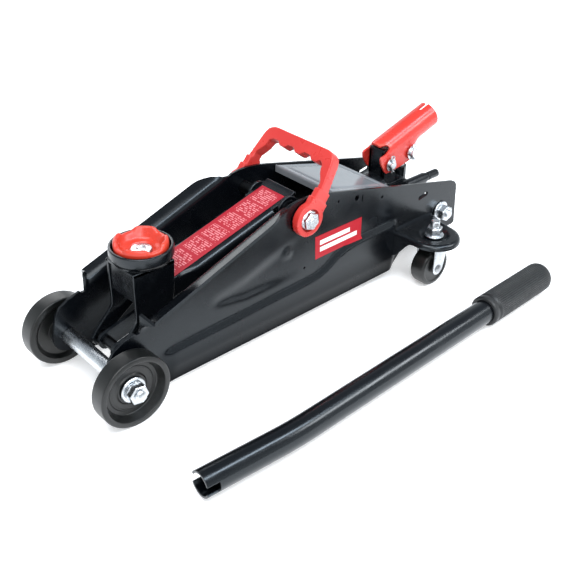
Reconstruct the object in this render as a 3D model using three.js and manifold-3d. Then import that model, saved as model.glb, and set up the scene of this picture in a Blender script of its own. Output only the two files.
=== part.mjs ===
// A compact hydraulic floor (trolley) jack with its loose pump handle lying beside it.
// Millimetres, +Z up. +X points forward to the saddle end and +Y to the jack's left side.
// Every piece is drawn with X = 0 at the front axle, Y = 0 on the middle plane and Z = 0 on the
// floor; the whole group is then moved so that its origin is the bottom centre of its box.
import * as THREE from "three";
import { mergeVertices } from "three/addons/utils/BufferGeometryUtils.js";
import Module from "manifold-3d";

const wasm = await Module();
wasm.setup();

// ---------------------------------------------------------------- driving dimensions
const GAP = 0.3; // running clearance between neighbouring pieces
const SHEET = 3; // gauge of the pressed steel

const WHEEL = { radius: 35, inner: 52, outer: 69, bore: 7.9 };
const AXLE_RADIUS = 7.5;
const PLATE_Y = 46; // outer face of each side plate
const PANEL_Y = 50; // outer face of the pressed lower panel

const ARM_PIVOT = { x: -214, z: 120.5, radius: 6.2 };
const LINK = { x: 154, z: -40.5 }; // arm pivot to saddle pin, and link rear pin to link front pin
const SADDLE_PIN = { x: ARM_PIVOT.x + LINK.x, z: ARM_PIVOT.z + LINK.z, radius: 6 };
const LINK_FRONT = { x: -20, z: 38, radius: 5 };
const LINK_REAR = { x: LINK_FRONT.x - LINK.x, z: LINK_FRONT.z - LINK.z, radius: 5 };
const ARM_SLOPE = THREE.MathUtils.degToRad(15.4); // lowered arm, nose down
const LEVER = { length: 48, angle: THREE.MathUtils.degToRad(37), radius: 4.5 };
const RAM_PIN = {
  x: ARM_PIVOT.x - LEVER.length * Math.sin(LEVER.angle),
  z: ARM_PIVOT.z - LEVER.length * Math.cos(LEVER.angle),
};
const RAM_Z = 77.5;

const SADDLE = { x: -59.2, seat: 116, rim: 130, radius: 29.3 };
const REAR_BOLT = { x: -427, z: 56 };
const CASTER = { x: -376, y: 80, pad: 58, radius: 21.5, width: 18, trail: -3, ear: 28.5 };
const SOCKET = { x: -371, z: 118.5, tilt: THREE.MathUtils.degToRad(17.4), radius: 15.5, bore: 13 };
const SOCKET_LEVER = { x: -405, z: 123.4, radius: 5 };
const PLUNGER_X = -402;
const VALVE_Z = 72.5;
const BASE = { front: -352, rear: -441, bottom: 28, step: 60, top: 95, tower: { rear: -396, half: 22 } };
const CARRY = { lean: THREE.MathUtils.degToRad(38.9), height: 68, halfWidth: 47.6 };
const LOOSE = { tube: 12.3, grip: 16, y: 180 };

// ---------------------------------------------------------------- finishes
const finish = (color, roughness, metalness) => ({ color, roughness, metalness });
const BLACK = finish(0x16181a, 0.3, 0.1);
const RED = finish(0xd8392b, 0.35, 0);
const ZINC = finish(0xc9ced2, 0.3, 1);
const STEEL = finish(0x8e9295, 0.35, 1);
const NYLON = finish(0x1b1d1c, 0.55, 0);
const GRIP = finish(0x141414, 0.8, 0);

const jack = new THREE.Group();

/** Adds one named piece to a group (the jack itself unless another is given). */
function piece(name, geometry, look, parent = jack) {
  const mesh = new THREE.Mesh(geometry, new THREE.MeshStandardMaterial(look));
  mesh.name = name;
  parent.add(mesh);
  return mesh;
}

// ---------------------------------------------------------------- solid helpers
function toSolid(geometry) {
  const bare = geometry.clone();
  bare.deleteAttribute("normal");
  bare.deleteAttribute("uv");
  const merged = mergeVertices(bare, 1e-4);
  const vertProperties = new Float32Array(merged.attributes.position.array);
  const triVerts = new Uint32Array(merged.index.array);
  return new wasm.Manifold(new wasm.Mesh({ numProp: 3, vertProperties, triVerts }));
}

function toGeometry(solid) {
  const mesh = solid.getMesh();
  const geometry = new THREE.BufferGeometry();
  geometry.setAttribute("position", new THREE.BufferAttribute(new Float32Array(mesh.vertProperties), 3));
  geometry.setIndex(new THREE.BufferAttribute(new Uint32Array(mesh.triVerts), 1));
  geometry.computeVertexNormals();
  return geometry;
}

/** Joins the first list of geometries and cuts the second list from the result. */
function build(added, removed = []) {
  let solid = toSolid(added[0]);
  for (const geometry of added.slice(1)) solid = solid.add(toSolid(geometry));
  for (const geometry of removed) solid = solid.subtract(toSolid(geometry));
  return toGeometry(solid);
}

function block(x0, x1, y0, y1, z0, z1) {
  const geometry = new THREE.BoxGeometry(x1 - x0, y1 - y0, z1 - z0);
  return geometry.translate((x0 + x1) / 2, (y0 + y1) / 2, (z0 + z1) / 2);
}

/** A round bar along Y from y0 to y1 whose centre is at (x, z). */
function barY(x, z, radius, y0, y1, sides = 20) {
  const geometry = new THREE.CylinderGeometry(radius, radius, y1 - y0, sides);
  return geometry.translate(x, (y0 + y1) / 2, z);
}

/** A round bar along X from x0 to x1 whose centre is at (y, z). */
function barX(y, z, radius, x0, x1, sides = 24) {
  const geometry = new THREE.CylinderGeometry(radius, radius, x1 - x0, sides);
  return geometry.rotateZ(-Math.PI / 2).translate((x0 + x1) / 2, y, z);
}

/** An upright round bar from z0 to z1 whose centre is at (x, y). */
function barZ(x, y, radius, z0, z1, sides = 20) {
  const geometry = new THREE.CylinderGeometry(radius, radius, z1 - z0, sides);
  return geometry.rotateX(Math.PI / 2).translate(x, y, (z0 + z1) / 2);
}

function extrude(shape, depth, curveSegments = 5) {
  return new THREE.ExtrudeGeometry(shape, { depth, bevelEnabled: false, curveSegments });
}

/** A sheet cut to an outline in the X-Z plane, between y0 and y1. */
function sheetXZ(shape, y0, y1, curveSegments = 5) {
  return extrude(shape, y1 - y0, curveSegments).rotateX(Math.PI / 2).translate(0, y1, 0);
}

/** A sheet cut to an outline in the X-Y plane, between z0 and z1. */
function sheetXY(shape, z0, z1, curveSegments = 5) {
  return extrude(shape, z1 - z0, curveSegments).translate(0, 0, z0);
}

const YZ_TO_XYZ = new THREE.Matrix4().makeBasis(
  new THREE.Vector3(0, 1, 0),
  new THREE.Vector3(0, 0, 1),
  new THREE.Vector3(1, 0, 0),
);

/** A section drawn in the Y-Z plane, extruded from x0 to x1. */
function sectionYZ(shape, x0, x1, curveSegments = 5) {
  return extrude(shape, x1 - x0, curveSegments).applyMatrix4(YZ_TO_XYZ).translate(x0, 0, 0);
}

function outline(points) {
  return new THREE.Shape(points.map(([a, b]) => new THREE.Vector2(a, b)));
}

/** A turned piece: radius and height pairs, spun about the Y axis through (x, z). */
function turnedY(profile, x, z, sides = 40) {
  const points = profile.map(([radius, y]) => new THREE.Vector2(radius, y));
  return new THREE.LatheGeometry(points, sides).translate(x, 0, z);
}

/** A turned piece standing on end: radius and height pairs, spun about the Z axis. */
function turnedZ(profile, x, y, sides = 40) {
  const points = profile.map(([radius, z]) => new THREE.Vector2(radius, z));
  return new THREE.LatheGeometry(points, sides).rotateX(Math.PI / 2).translate(x, y, 0);
}

/** Mirrors a left-hand geometry to the right-hand side. */
function mirrored(geometry) {
  const copy = geometry.clone().scale(1, -1, 1);
  if (!copy.index) copy.setIndex([...Array(copy.attributes.position.count).keys()]);
  const index = copy.index.array;
  for (let i = 0; i < index.length; i += 3) [index[i], index[i + 1]] = [index[i + 1], index[i]];
  copy.computeVertexNormals();
  return copy;
}

/** Adds a piece on the left and its mirror image on the right. */
function pair(name, geometry, look) {
  piece(`${name}_left`, geometry, look);
  piece(`${name}_right`, mirrored(geometry), look);
}

/** A hexagon nut on a round flange, along Y, starting at y0 and pointing outward. */
function flangeNut(x, z, y0, { flange, across, height, bore }) {
  const flat = across / Math.sqrt(3);
  const hexagon = new THREE.CylinderGeometry(flat, flat, height, 6);
  const parts = [barY(x, z, flange, y0, y0 + 2, 18), hexagon.translate(x, y0 + height / 2, z)];
  return build(parts, [barY(x, z, bore, y0 - 1, y0 + height + 1, 12)]);
}

/** A strip joining rings of points, closed at both ends: the skin of a tapering solid. */
function loft(rings) {
  const count = rings[0].length;
  const positions = rings.flat(2);
  const index = [];
  for (let ring = 0; ring < rings.length - 1; ring += 1) {
    for (let i = 0; i < count; i += 1) {
      const a = ring * count + i;
      const b = ring * count + ((i + 1) % count);
      index.push(a, b, a + count, b, b + count, a + count);
    }
  }
  const flat = rings[0].map(([, y, z]) => new THREE.Vector2(y, z));
  const last = (rings.length - 1) * count;
  for (const [a, b, c] of THREE.ShapeUtils.triangulateShape(flat, [])) {
    index.push(c, b, a, last + a, last + b, last + c);
  }
  const geometry = new THREE.BufferGeometry();
  geometry.setAttribute("position", new THREE.Float32BufferAttribute(positions, 3));
  geometry.setIndex(index);
  const solid = toSolid(geometry);
  return toGeometry(solid.volume() < 0 ? toSolid(flipped(geometry)) : solid);
}

function flipped(geometry) {
  const copy = geometry.clone();
  const index = copy.index.array;
  for (let i = 0; i < index.length; i += 3) [index[i], index[i + 1]] = [index[i + 1], index[i]];
  return copy;
}

// ---------------------------------------------------------------- chassis
const FLANGE_START = { x: -23, z: 79.4 };
const FLANGE_RISE = 0.357; // slope of the flange towards the arm pivot
const PLATE_TOP = { front: [-248, 135.8], rear: [-430, 91.1] };

/** The flat blank of a side plate, seen from the side. */
function plateBlank() {
  const shape = new THREE.Shape();
  shape.moveTo(-352, 8);
  shape.lineTo(-40, 8);
  shape.quadraticCurveTo(-24, 10, -12, 20);
  shape.absarc(0, 35, 16.5, THREE.MathUtils.degToRad(232), THREE.MathUtils.degToRad(375), false);
  shape.quadraticCurveTo(15, 62, 4, 69);
  shape.lineTo(FLANGE_START.x + 6, FLANGE_START.z - 2);
  shape.lineTo(-183, FLANGE_START.z + FLANGE_RISE * (FLANGE_START.x + 183));
  shape.quadraticCurveTo(-196, 142, -212, 142);
  shape.quadraticCurveTo(-234, 141.5, ...PLATE_TOP.front);
  shape.lineTo(...PLATE_TOP.rear);
  shape.quadraticCurveTo(-449, 86.5, -453, 71);
  shape.lineTo(-457, 32);
  shape.lineTo(-366, 32);
  shape.lineTo(-361, 26);
  shape.closePath();
  return shape;
}

/** The long panel that is pressed outward along the foot of a side plate. */
function panelOutline(inset) {
  return outline([
    [-352, 8],
    [-44, 8],
    [-52 - inset, 40 - inset],
    [-70 - inset, 44 - inset],
    [-180, 44 - inset],
    [-240 - inset, 50 - inset],
    [-258 - inset, 64 - inset],
    [-276 - inset, 68 - inset],
    [-352, 68 - inset],
  ]);
}

/** The flange that flares out along the sloping front edge of a side plate. */
function flange() {
  const stations = [-23, -60, -100, -140, -160, -175, -188];
  const widths = [14, 14, 14, 13.5, 10.5, 6.5, 2];
  const rings = stations.map((x, i) => {
    const z = FLANGE_START.z + FLANGE_RISE * (FLANGE_START.x - x);
    const w = widths[i];
    const out = PLATE_Y + w;
    const rise = 0.4 * w;
    const inside = PLATE_Y - SHEET;
    return [
      [x, inside, z - 7],
      [x, PLATE_Y, z - 7],
      [x, PLATE_Y + 0.12 * w, z - 3],
      [x, PLATE_Y + 0.4 * w, z - 1.4 + 0.1 * rise],
      [x, out, z + rise - 2.2],
      [x, out, z + rise],
      [x, PLATE_Y + 0.3 * w, z + 1 + 0.2 * rise],
      [x, inside + 0.6, z - 0.4],
    ];
  });
  return loft(rings);
}

/** The rounded pad that stands out from a side plate over its caster, with a turned-down lip. */
function casterEar() {
  const { x, y, pad } = CASTER;
  const padOutline = (inset) => {
    const shape = new THREE.Shape();
    const radius = CASTER.ear - inset;
    shape.moveTo(x + 31 - inset, PLATE_Y - 1);
    shape.lineTo(x + 31 - inset, PLATE_Y + 4);
    shape.quadraticCurveTo(x + radius + 1, PLATE_Y + 14, x + radius, y);
    shape.absarc(x, y, radius, 0, Math.PI, false);
    shape.quadraticCurveTo(x - radius - 1, PLATE_Y + 14, x - 38 + inset, PLATE_Y + 4);
    shape.lineTo(x - 38 + inset, PLATE_Y - 1);
    shape.closePath();
    return shape;
  };
  return build(
    [sheetXY(padOutline(0), pad - 6, pad, 9)],
    [
      sheetXY(padOutline(SHEET), pad - 12, pad - SHEET, 9),
      barZ(x, y, 5.4, pad - 20, pad + 5, 14),
      barZ(x, y, 15, pad - 1, pad + 5, 24),
    ],
  );
}

function sidePlate() {
  const panelOuter = sheetXZ(panelOutline(0), PLATE_Y - SHEET, PANEL_Y);
  const panelInner = sheetXZ(panelOutline(SHEET), PLATE_Y - SHEET - 1, PANEL_Y - SHEET);
  const innerFoot = block(-353, -47, PLATE_Y - SHEET - 1, PANEL_Y - SHEET, 7, 12);
  const shell = build([sheetXZ(plateBlank(), PLATE_Y - SHEET, PLATE_Y), panelOuter], [panelInner, innerFoot]);
  const holes = [
    [0, WHEEL.radius, AXLE_RADIUS + GAP, 20],
    [ARM_PIVOT.x, ARM_PIVOT.z, ARM_PIVOT.radius + GAP, 16],
    [REAR_BOLT.x, REAR_BOLT.z, 5 + GAP, 14],
    [-216, 66, 1.6, 8],
    [-260.5, 122.1, 1.4, 8],
    [-287, 117.3, 3, 12],
    [-325.3, 105.8, 1.8, 8],
  ].map(([x, z, radius, sides]) => barY(x, z, radius, PLATE_Y - 5, PANEL_Y + 2, sides));
  const slot = block(-5.5, 5.5, PLATE_Y - 5, PANEL_Y + 2, -2, 2).rotateY(-0.5).translate(-394, 0, 84);
  const narrowSlot = block(-296, -294.2, PLATE_Y - 5, PANEL_Y + 2, 110.5, 118);
  return build([shell, flange(), casterEar()], [...holes, slot, narrowSlot]);
}

pair("side_plate", sidePlate(), BLACK);

/** The sloping lid between the side plates, behind the arm. */
function topCover() {
  const front = { x: -255, z: 133.3 };
  const rear = { x: -345, z: 109.8 };
  const side = PLATE_Y - SHEET - 0.4;
  const profile = outline([
    [front.x, front.z],
    [front.x, front.z - 11],
    [front.x - 2, front.z - 11],
    [front.x - 2, front.z - 2.6],
    [rear.x + 2, rear.z - 1.6],
    [rear.x + 2, rear.z - 6.5],
    [rear.x, rear.z - 6.5],
    [rear.x, rear.z],
  ]);
  const slope = Math.atan2(front.z - rear.z, front.x - rear.x);
  const groove = (x0, x1, y0, y1) =>
    block(x0, x1, y0, y1, -0.7, 3).rotateY(-slope).translate(rear.x, 0, rear.z);
  const far = 84;
  const grooves = [
    groove(8, 10, -34, 34),
    groove(far - 2, far, -34, 34),
    groove(8, far, -34, -32),
    groove(8, far, 32, 34),
  ];
  return build([sheetXZ(profile, -side, side)], grooves);
}

piece("top_cover", topCover(), BLACK);

/** The rod through both noses: thick in the middle, stepped to threaded ends. */
function frontAxle() {
  const rod = barY(0, WHEEL.radius, AXLE_RADIUS, -61.9, 61.9, 24);
  return build([rod, barY(0, WHEEL.radius, 5, -77, 77, 16)]);
}

piece("front_axle", frontAxle(), ZINC);
pair("axle_washer", build([barY(0, WHEEL.radius, 12.5, 62.2, 64.4, 24)], [
  barY(0, WHEEL.radius, 5.3, 60, 66, 16),
]), ZINC);
pair("axle_nut", flangeNut(0, WHEEL.radius, 64.7, { flange: 9.6, across: 17, height: 9, bore: 5.3 }), ZINC);

/** The arm's pivot shaft, carried by both side plates, with threaded ends. */
function pivotShaft() {
  const shaft = barY(ARM_PIVOT.x, ARM_PIVOT.z, ARM_PIVOT.radius, -51, 51, 20);
  return build([shaft, barY(ARM_PIVOT.x, ARM_PIVOT.z, 4.6, -61, 61, 14)]);
}

piece("arm_pivot_shaft", pivotShaft(), STEEL);
pair("pivot_nut", flangeNut(ARM_PIVOT.x, ARM_PIVOT.z, 51.6, {
  flange: 10.6, across: 17, height: 8.4, bore: 4.9,
}), ZINC);
const LINK_PIN_END = PLATE_Y - SHEET - GAP;
piece("link_rear_pin", barY(LINK_REAR.x, LINK_REAR.z, LINK_REAR.radius, -LINK_PIN_END, LINK_PIN_END), STEEL);

// ---------------------------------------------------------------- hydraulic unit
const RESERVOIR = { radius: 24, front: -268 };
const CYLINDER = { radius: 15, front: -262 };
const RAM_RADIUS = 9;

const VALVE_BOSS = { rear: -450, depth: 20 };

/** The stepped casting at the rear that carries the cylinder, the pump and the release valve. */
function pumpBase() {
  const side = PLATE_Y - SHEET - 0.4;
  const { tower, step } = BASE;
  const body = block(BASE.rear, BASE.front, -side, side, BASE.bottom, step);
  const upper = block(tower.rear, BASE.front, -tower.half, tower.half, step - 1, BASE.top);
  const boss = barX(0, VALVE_Z, 6.5, VALVE_BOSS.rear, tower.rear + 1, 20);
  const collar = barX(0, RAM_Z, RESERVOIR.radius + 4, BASE.front - 12, BASE.front + 6, 28);
  const barrel = barZ(PLUNGER_X, 0, 9.5, step - 1, 104, 20);
  const lugs = [-1, 1].map((s) => barY(REAR_BOLT.x, REAR_BOLT.z, 12, Math.min(s * 30, s * side),
    Math.max(s * 30, s * side), 24));
  const cuts = [
    block(BASE.rear - 1, BASE.front - 36, -side - 1, -side + 12, BASE.bottom - 1, BASE.bottom + 14),
    block(BASE.rear - 1, BASE.front - 36, side - 12, side + 1, BASE.bottom - 1, BASE.bottom + 14),
    barX(0, RAM_Z, RESERVOIR.radius + GAP, BASE.front - 8, BASE.front + 8, 28),
    barX(0, RAM_Z, CYLINDER.radius + GAP, BASE.front - 20, BASE.front, 24),
    barZ(PLUNGER_X, 0, 5 + GAP, 70, 105, 20),
    barX(0, VALVE_Z, 4.2 + GAP, VALVE_BOSS.rear - 1, VALVE_BOSS.rear + VALVE_BOSS.depth + GAP, 16),
    barY(REAR_BOLT.x, REAR_BOLT.z, 5 + GAP, -side - 1, -side + 20, 20),
    barY(REAR_BOLT.x, REAR_BOLT.z, 5 + GAP, side - 20, side + 1, 20),
  ];
  return build([body, upper, collar, barrel, boss, ...lugs], cuts);
}

piece("pump_base", pumpBase(), BLACK);

function tubeX(radius, bore, x0, x1, sides) {
  return build([barX(0, RAM_Z, radius, x0, x1, sides)], [barX(0, RAM_Z, bore, x0 - 1, x1 + 1, sides)]);
}

/** The oil reservoir: a tube round the cylinder, with a filler hole on top. */
function reservoir() {
  const x0 = BASE.front - 7.6;
  const tube = tubeX(RESERVOIR.radius, RESERVOIR.radius - 2.5, x0, RESERVOIR.front, 28);
  return build([tube], [barZ(-310, 0, 5.3, RAM_Z, RAM_Z + 40, 14)]);
}

piece("reservoir", reservoir(), BLACK);
piece("cylinder", tubeX(CYLINDER.radius, RAM_RADIUS + GAP, BASE.front - 19.6, CYLINDER.front, 24), STEEL);

/** The threaded ring that closes the front of the reservoir round the cylinder. */
function topNut() {
  const x0 = RESERVOIR.front + GAP;
  const ring = barX(0, RAM_Z, RESERVOIR.radius, x0, x0 + 5, 8);
  return build([ring], [barX(0, RAM_Z, CYLINDER.radius + GAP, x0 - 1, x0 + 7, 24)]);
}

piece("reservoir_nut", topNut(), STEEL);

function fillerPlug() {
  const top = RAM_Z + RESERVOIR.radius;
  return build([barZ(-310, 0, 5, top - 6, top + 0.5, 14), barZ(-310, 0, 6.5, top + 0.3, top + 2.2, 16)]);
}

piece("filler_plug", fillerPlug(), NYLON);

/** The ram, ending in a fork whose jaws embrace the arm's lever pin. */
function ram() {
  const back = RAM_PIN.x - LEVER.radius - 1.5;
  const jaw = { low: 63.5, high: 91.5, half: 7.8 };
  const head = block(back - 6, RAM_PIN.x + 5, -jaw.half, jaw.half, jaw.low, jaw.high);
  const mouth = block(back, RAM_PIN.x + 6, -jaw.half - 1, jaw.half + 1, jaw.low + 3.8, jaw.high - 3.8);
  const rod = barX(0, RAM_Z, RAM_RADIUS, BASE.front - 18, back - 5, 20);
  return build([build([head], [mouth]), rod]);
}

const ramGroup = new THREE.Group();
jack.add(ramGroup);
piece("ram", ram(), STEEL, ramGroup);

/** The lug on the base that the handle socket rocks on: a channel open to the rear. */
function socketYoke() {
  const half = 10.5;
  const front = -364.5;
  const top = SOCKET.z + 15.8;
  const side = outline([
    [front, BASE.top + GAP],
    [front, top],
    [-371, top],
    [-382, 127],
    [-385, 112],
    [-387, BASE.top + GAP],
  ]);
  const web = block(front - SHEET, front, -half, half, BASE.top + GAP, top);
  const foot = block(-391, front, -20, 20, BASE.top + GAP, BASE.top + 4);
  const walls = [-half, half - 3].map((y0) => sheetXZ(side, y0, y0 + 3));
  return build([web, foot, ...walls], [barY(SOCKET.x, SOCKET.z, 4.2 + GAP, -20, 20, 16)]);
}

piece("socket_yoke", socketYoke(), BLACK);

// ---------------------------------------------------------------- lift arm
const armGroup = new THREE.Group();
armGroup.position.set(ARM_PIVOT.x, 0, ARM_PIVOT.z);
armGroup.rotation.y = ARM_SLOPE;
jack.add(armGroup);

/** Turns a point of the lowered jack into the arm's own frame (X along the arm, Z across it). */
function inArm({ x, z }) {
  const dx = x - ARM_PIVOT.x;
  const dz = z - ARM_PIVOT.z;
  const c = Math.cos(ARM_SLOPE);
  const s = Math.sin(ARM_SLOPE);
  return { x: dx * c - dz * s, z: dx * s + dz * c };
}

const ARM = { top: 10, web: 3, half: 24, nose: 17.6, wall: 3.4 };

/** One cheek of the arm: eye at the pivot, lever below it, tapering to the saddle pin. */
function armCheek() {
  const ramPin = inArm(RAM_PIN);
  const shape = new THREE.Shape();
  shape.moveTo(132, ARM.top);
  shape.lineTo(18, ARM.top);
  shape.absarc(0, 0, 13.5, THREE.MathUtils.degToRad(48), THREE.MathUtils.degToRad(190), false);
  shape.lineTo(ramPin.x - 9, ramPin.z + 2);
  shape.absarc(ramPin.x, ramPin.z, 8.6, THREE.MathUtils.degToRad(170), THREE.MathUtils.degToRad(330), false);
  shape.lineTo(6, -24);
  shape.quadraticCurveTo(14, -15, 30, -14.5);
  shape.lineTo(96, -14.5);
  shape.lineTo(132, -10);
  shape.closePath();
  return shape;
}

/** The narrow nose of the arm, a lug each side of the links, ending round the saddle pin. */
function noseCheek() {
  const pin = inArm(SADDLE_PIN);
  const shape = new THREE.Shape();
  shape.moveTo(112, ARM.top);
  shape.lineTo(112, -12);
  shape.lineTo(pin.x - 6, pin.z - 10.5);
  shape.absarc(pin.x, pin.z, 11.5, THREE.MathUtils.degToRad(245), THREE.MathUtils.degToRad(405), false);
  shape.lineTo(pin.x + 2, ARM.top);
  shape.closePath();
  return shape;
}

/** The joggle where each cheek steps in to the nose. */
function joggle(side) {
  const y0 = side * (ARM.nose - ARM.wall);
  const y1 = side * ARM.half;
  const shape = outline([
    [108, y1],
    [114, y1],
    [136, side * ARM.nose],
    [136, y0],
    [128, y0],
    [108, side * (ARM.half - ARM.wall)],
  ]);
  return sheetXY(shape, -11.5, ARM.top);
}

function liftArm() {
  const ramPin = inArm(RAM_PIN);
  const saddlePin = inArm(SADDLE_PIN);
  const web = outline([
    [-15, -ARM.half],
    [114, -ARM.half],
    [136, -ARM.nose],
    [saddlePin.x + 4, -ARM.nose],
    [saddlePin.x + 4, ARM.nose],
    [136, ARM.nose],
    [114, ARM.half],
    [-15, ARM.half],
  ]);
  const added = [sheetXY(web, ARM.top - ARM.web, ARM.top)];
  for (const side of [-1, 1]) {
    const outer = [side * ARM.half, side * (ARM.half - ARM.wall)].sort((a, b) => a - b);
    const inner = [side * ARM.nose, side * (ARM.nose - ARM.wall)].sort((a, b) => a - b);
    const trim = block(112, 200, -60, 60, -60, 60);
    added.push(build([sheetXZ(armCheek(), ...outer)], [trim]));
    added.push(sheetXZ(noseCheek(), ...inner));
    added.push(joggle(side));
  }
  const inside = block(100, 200, -(ARM.nose - ARM.wall), ARM.nose - ARM.wall, -40, ARM.top - ARM.web);
  const holes = [
    barY(0, 0, ARM_PIVOT.radius + GAP, -30, 30, 20),
    barY(ramPin.x, ramPin.z, LEVER.radius + GAP, -30, 30, 14),
    barY(saddlePin.x, saddlePin.z, SADDLE_PIN.radius + GAP, -30, 30, 18),
    inside,
  ];
  return build(added, holes);
}

piece("lift_arm", liftArm(), BLACK, armGroup);

/** The pin across the arm's levers that the ram pushes, with an upset head at each end. */
function leverPin() {
  const pin = inArm(RAM_PIN);
  const shaft = barY(pin.x, pin.z, LEVER.radius, -26.5, 26.5, 14);
  const heads = [-1, 1].map((s) => barY(pin.x, pin.z, 6.6, Math.min(s * 24.4, s * 26.5),
    Math.max(s * 24.4, s * 26.5), 16));
  return build([shaft, ...heads]);
}

piece("lever_pin", leverPin(), STEEL, armGroup);

const saddlePinLocal = inArm(SADDLE_PIN);
const saddlePin = barY(saddlePinLocal.x, saddlePinLocal.z, SADDLE_PIN.radius, -23.4, 23.4, 20);
piece("saddle_pin", saddlePin, STEEL, armGroup);

// ---------------------------------------------------------------- saddle
const CARRIER = { half: 21.6, wall: 3.4, front: -35, rear: -77, top: SADDLE.seat - GAP };

function carrierCheek() {
  const shape = new THREE.Shape();
  shape.moveTo(CARRIER.front, CARRIER.top);
  shape.lineTo(CARRIER.rear - 2, CARRIER.top);
  shape.lineTo(CARRIER.rear, 84);
  shape.quadraticCurveTo(-74, 68, -62, 64);
  shape.lineTo(-36, 44);
  const turn = [200, 375].map(THREE.MathUtils.degToRad);
  shape.absarc(LINK_FRONT.x, LINK_FRONT.z, 9.5, ...turn, false);
  shape.lineTo(-31, 62);
  shape.quadraticCurveTo(CARRIER.front, 68, CARRIER.front, 76);
  shape.closePath();
  return shape;
}

/** The bracket that carries the saddle: two cheeks, a top and a front panel set back a little. */
function saddleCarrier() {
  const { half, wall, front, rear, top } = CARRIER;
  const cheeks = [-half, half - wall].map((y0) => sheetXZ(carrierCheek(), y0, y0 + wall));
  const roof = block(rear - 2, front, -half, half, top - 4, top);
  const panel = block(front - 4.6, front - 1.6, -half, half, 84, top);
  const holes = [
    barY(SADDLE_PIN.x, SADDLE_PIN.z, SADDLE_PIN.radius + GAP, -30, 30, 18),
    barY(LINK_FRONT.x, LINK_FRONT.z, LINK_FRONT.radius + GAP, -30, 30, 14),
    barZ(SADDLE.x, 0, 8 + GAP, top - 10, top + 5, 18),
  ];
  return build([...cheeks, roof, panel], holes);
}

piece("saddle_carrier", saddleCarrier(), BLACK);

/** The link's front pin in the foot of the carrier. */
piece("link_front_pin", barY(LINK_FRONT.x, LINK_FRONT.z, LINK_FRONT.radius, -25, 25, 16), STEEL);

/** The collar ring that stands on the carrier round the foot of the saddle. */
function saddleCollar() {
  const { x, seat, rim, radius } = SADDLE;
  const bore = radius - 3;
  return turnedZ([
    [8.6, seat],
    [radius - 2.5, seat],
    [radius, seat + 5],
    [radius, rim - 0.8],
    [radius - 0.8, rim],
    [bore, rim],
    [bore, seat + 4.5],
    [8.6, seat + 4.5],
    [8.6, seat],
  ], x, 0, 36);
}

piece("saddle_collar", saddleCollar(), BLACK);

/** The red cup that meets the car: a dish on a stub, with four notches in its rim. */
function saddleCup() {
  const { x, seat, rim, radius } = SADDLE;
  const outer = radius - 4.4;
  const dish = turnedZ([
    [0, seat - 9],
    [8, seat - 9],
    [8, seat + 5],
    [outer - 3, seat + 5],
    [outer - 0.8, seat + 8],
    [outer, rim - 1],
    [outer - 0.6, rim + 5.6],
    [outer - 2.6, rim + 5.6],
    [outer - 4.2, rim + 3],
    [outer - 7.4, rim - 4.6],
    [10.4, rim - 4.6],
    [10.4, rim - 7],
    [0, rim - 7],
  ], x, 0, 36);
  const notches = [0, 1, 2, 3].map((i) => {
    const gap = block(outer - 9, outer + 3, -7.5, 7.5, rim + 1.6, rim + 9);
    return gap.rotateZ((i * Math.PI) / 2).translate(x, 0, 0);
  });
  return build([dish], notches);
}

piece("saddle_cup", saddleCup(), RED);

/** The flat head of the screw that holds the cup. */
piece("saddle_screw", barZ(SADDLE.x, 0, 10, SADDLE.rim - 6.8, SADDLE.rim - 4.6, 24), ZINC);

// ---------------------------------------------------------------- radius links
/** A flat link from the frame to the foot of the saddle carrier, keeping the saddle level. */
function radiusLink() {
  const angle = Math.atan2(LINK.z, LINK.x);
  const length = Math.hypot(LINK.x, LINK.z);
  const shape = new THREE.Shape();
  shape.absarc(0, 0, 8.5, Math.PI / 2, (3 * Math.PI) / 2, false);
  shape.lineTo(length, -8.5);
  shape.absarc(length, 0, 8.5, -Math.PI / 2, Math.PI / 2, false);
  shape.closePath();
  const bar = build([sheetXZ(shape, 9.2, 12.8)], [
    barY(0, 0, LINK_REAR.radius + GAP, 5, 15, 14),
    barY(length, 0, LINK_FRONT.radius + GAP, 5, 15, 14),
  ]);
  return bar.rotateY(-angle).translate(LINK_REAR.x, 0, LINK_REAR.z);
}

pair("radius_link", radiusLink(), BLACK);

// ---------------------------------------------------------------- pump and handle socket
/** The pump plunger with the collar that its spring pushes on. */
function plunger() {
  return build([barZ(PLUNGER_X, 0, 5, 76, 115, 16), barZ(PLUNGER_X, 0, 8, 112.4, 115, 20)]);
}

piece("pump_plunger", plunger(), STEEL);

/** The return spring of the plunger: a closed sleeve of the coil's own size. */
function plungerSpring() {
  const outer = barZ(PLUNGER_X, 0, 7.6, 104.3, 112.1, 20);
  return build([outer], [barZ(PLUNGER_X, 0, 5.6, 100, 116, 16)]);
}

piece("plunger_spring", plungerSpring(), ZINC);

/** The release valve: a needle in the base with a stepped stem pointing to the rear. */
function releaseValve() {
  const stem = barX(0, VALVE_Z, 4.2, -474, VALVE_BOSS.rear + VALVE_BOSS.depth, 16);
  const collar = barX(0, VALVE_Z, 5.5, -454, VALVE_BOSS.rear - GAP, 20);
  const knob = barX(0, VALVE_Z, 5, -474, -457, 16);
  return build([stem, collar, knob], [barY(-467, VALVE_Z, 1.8, -10, 10, 8)]);
}

piece("release_valve", releaseValve(), BLACK);

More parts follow.
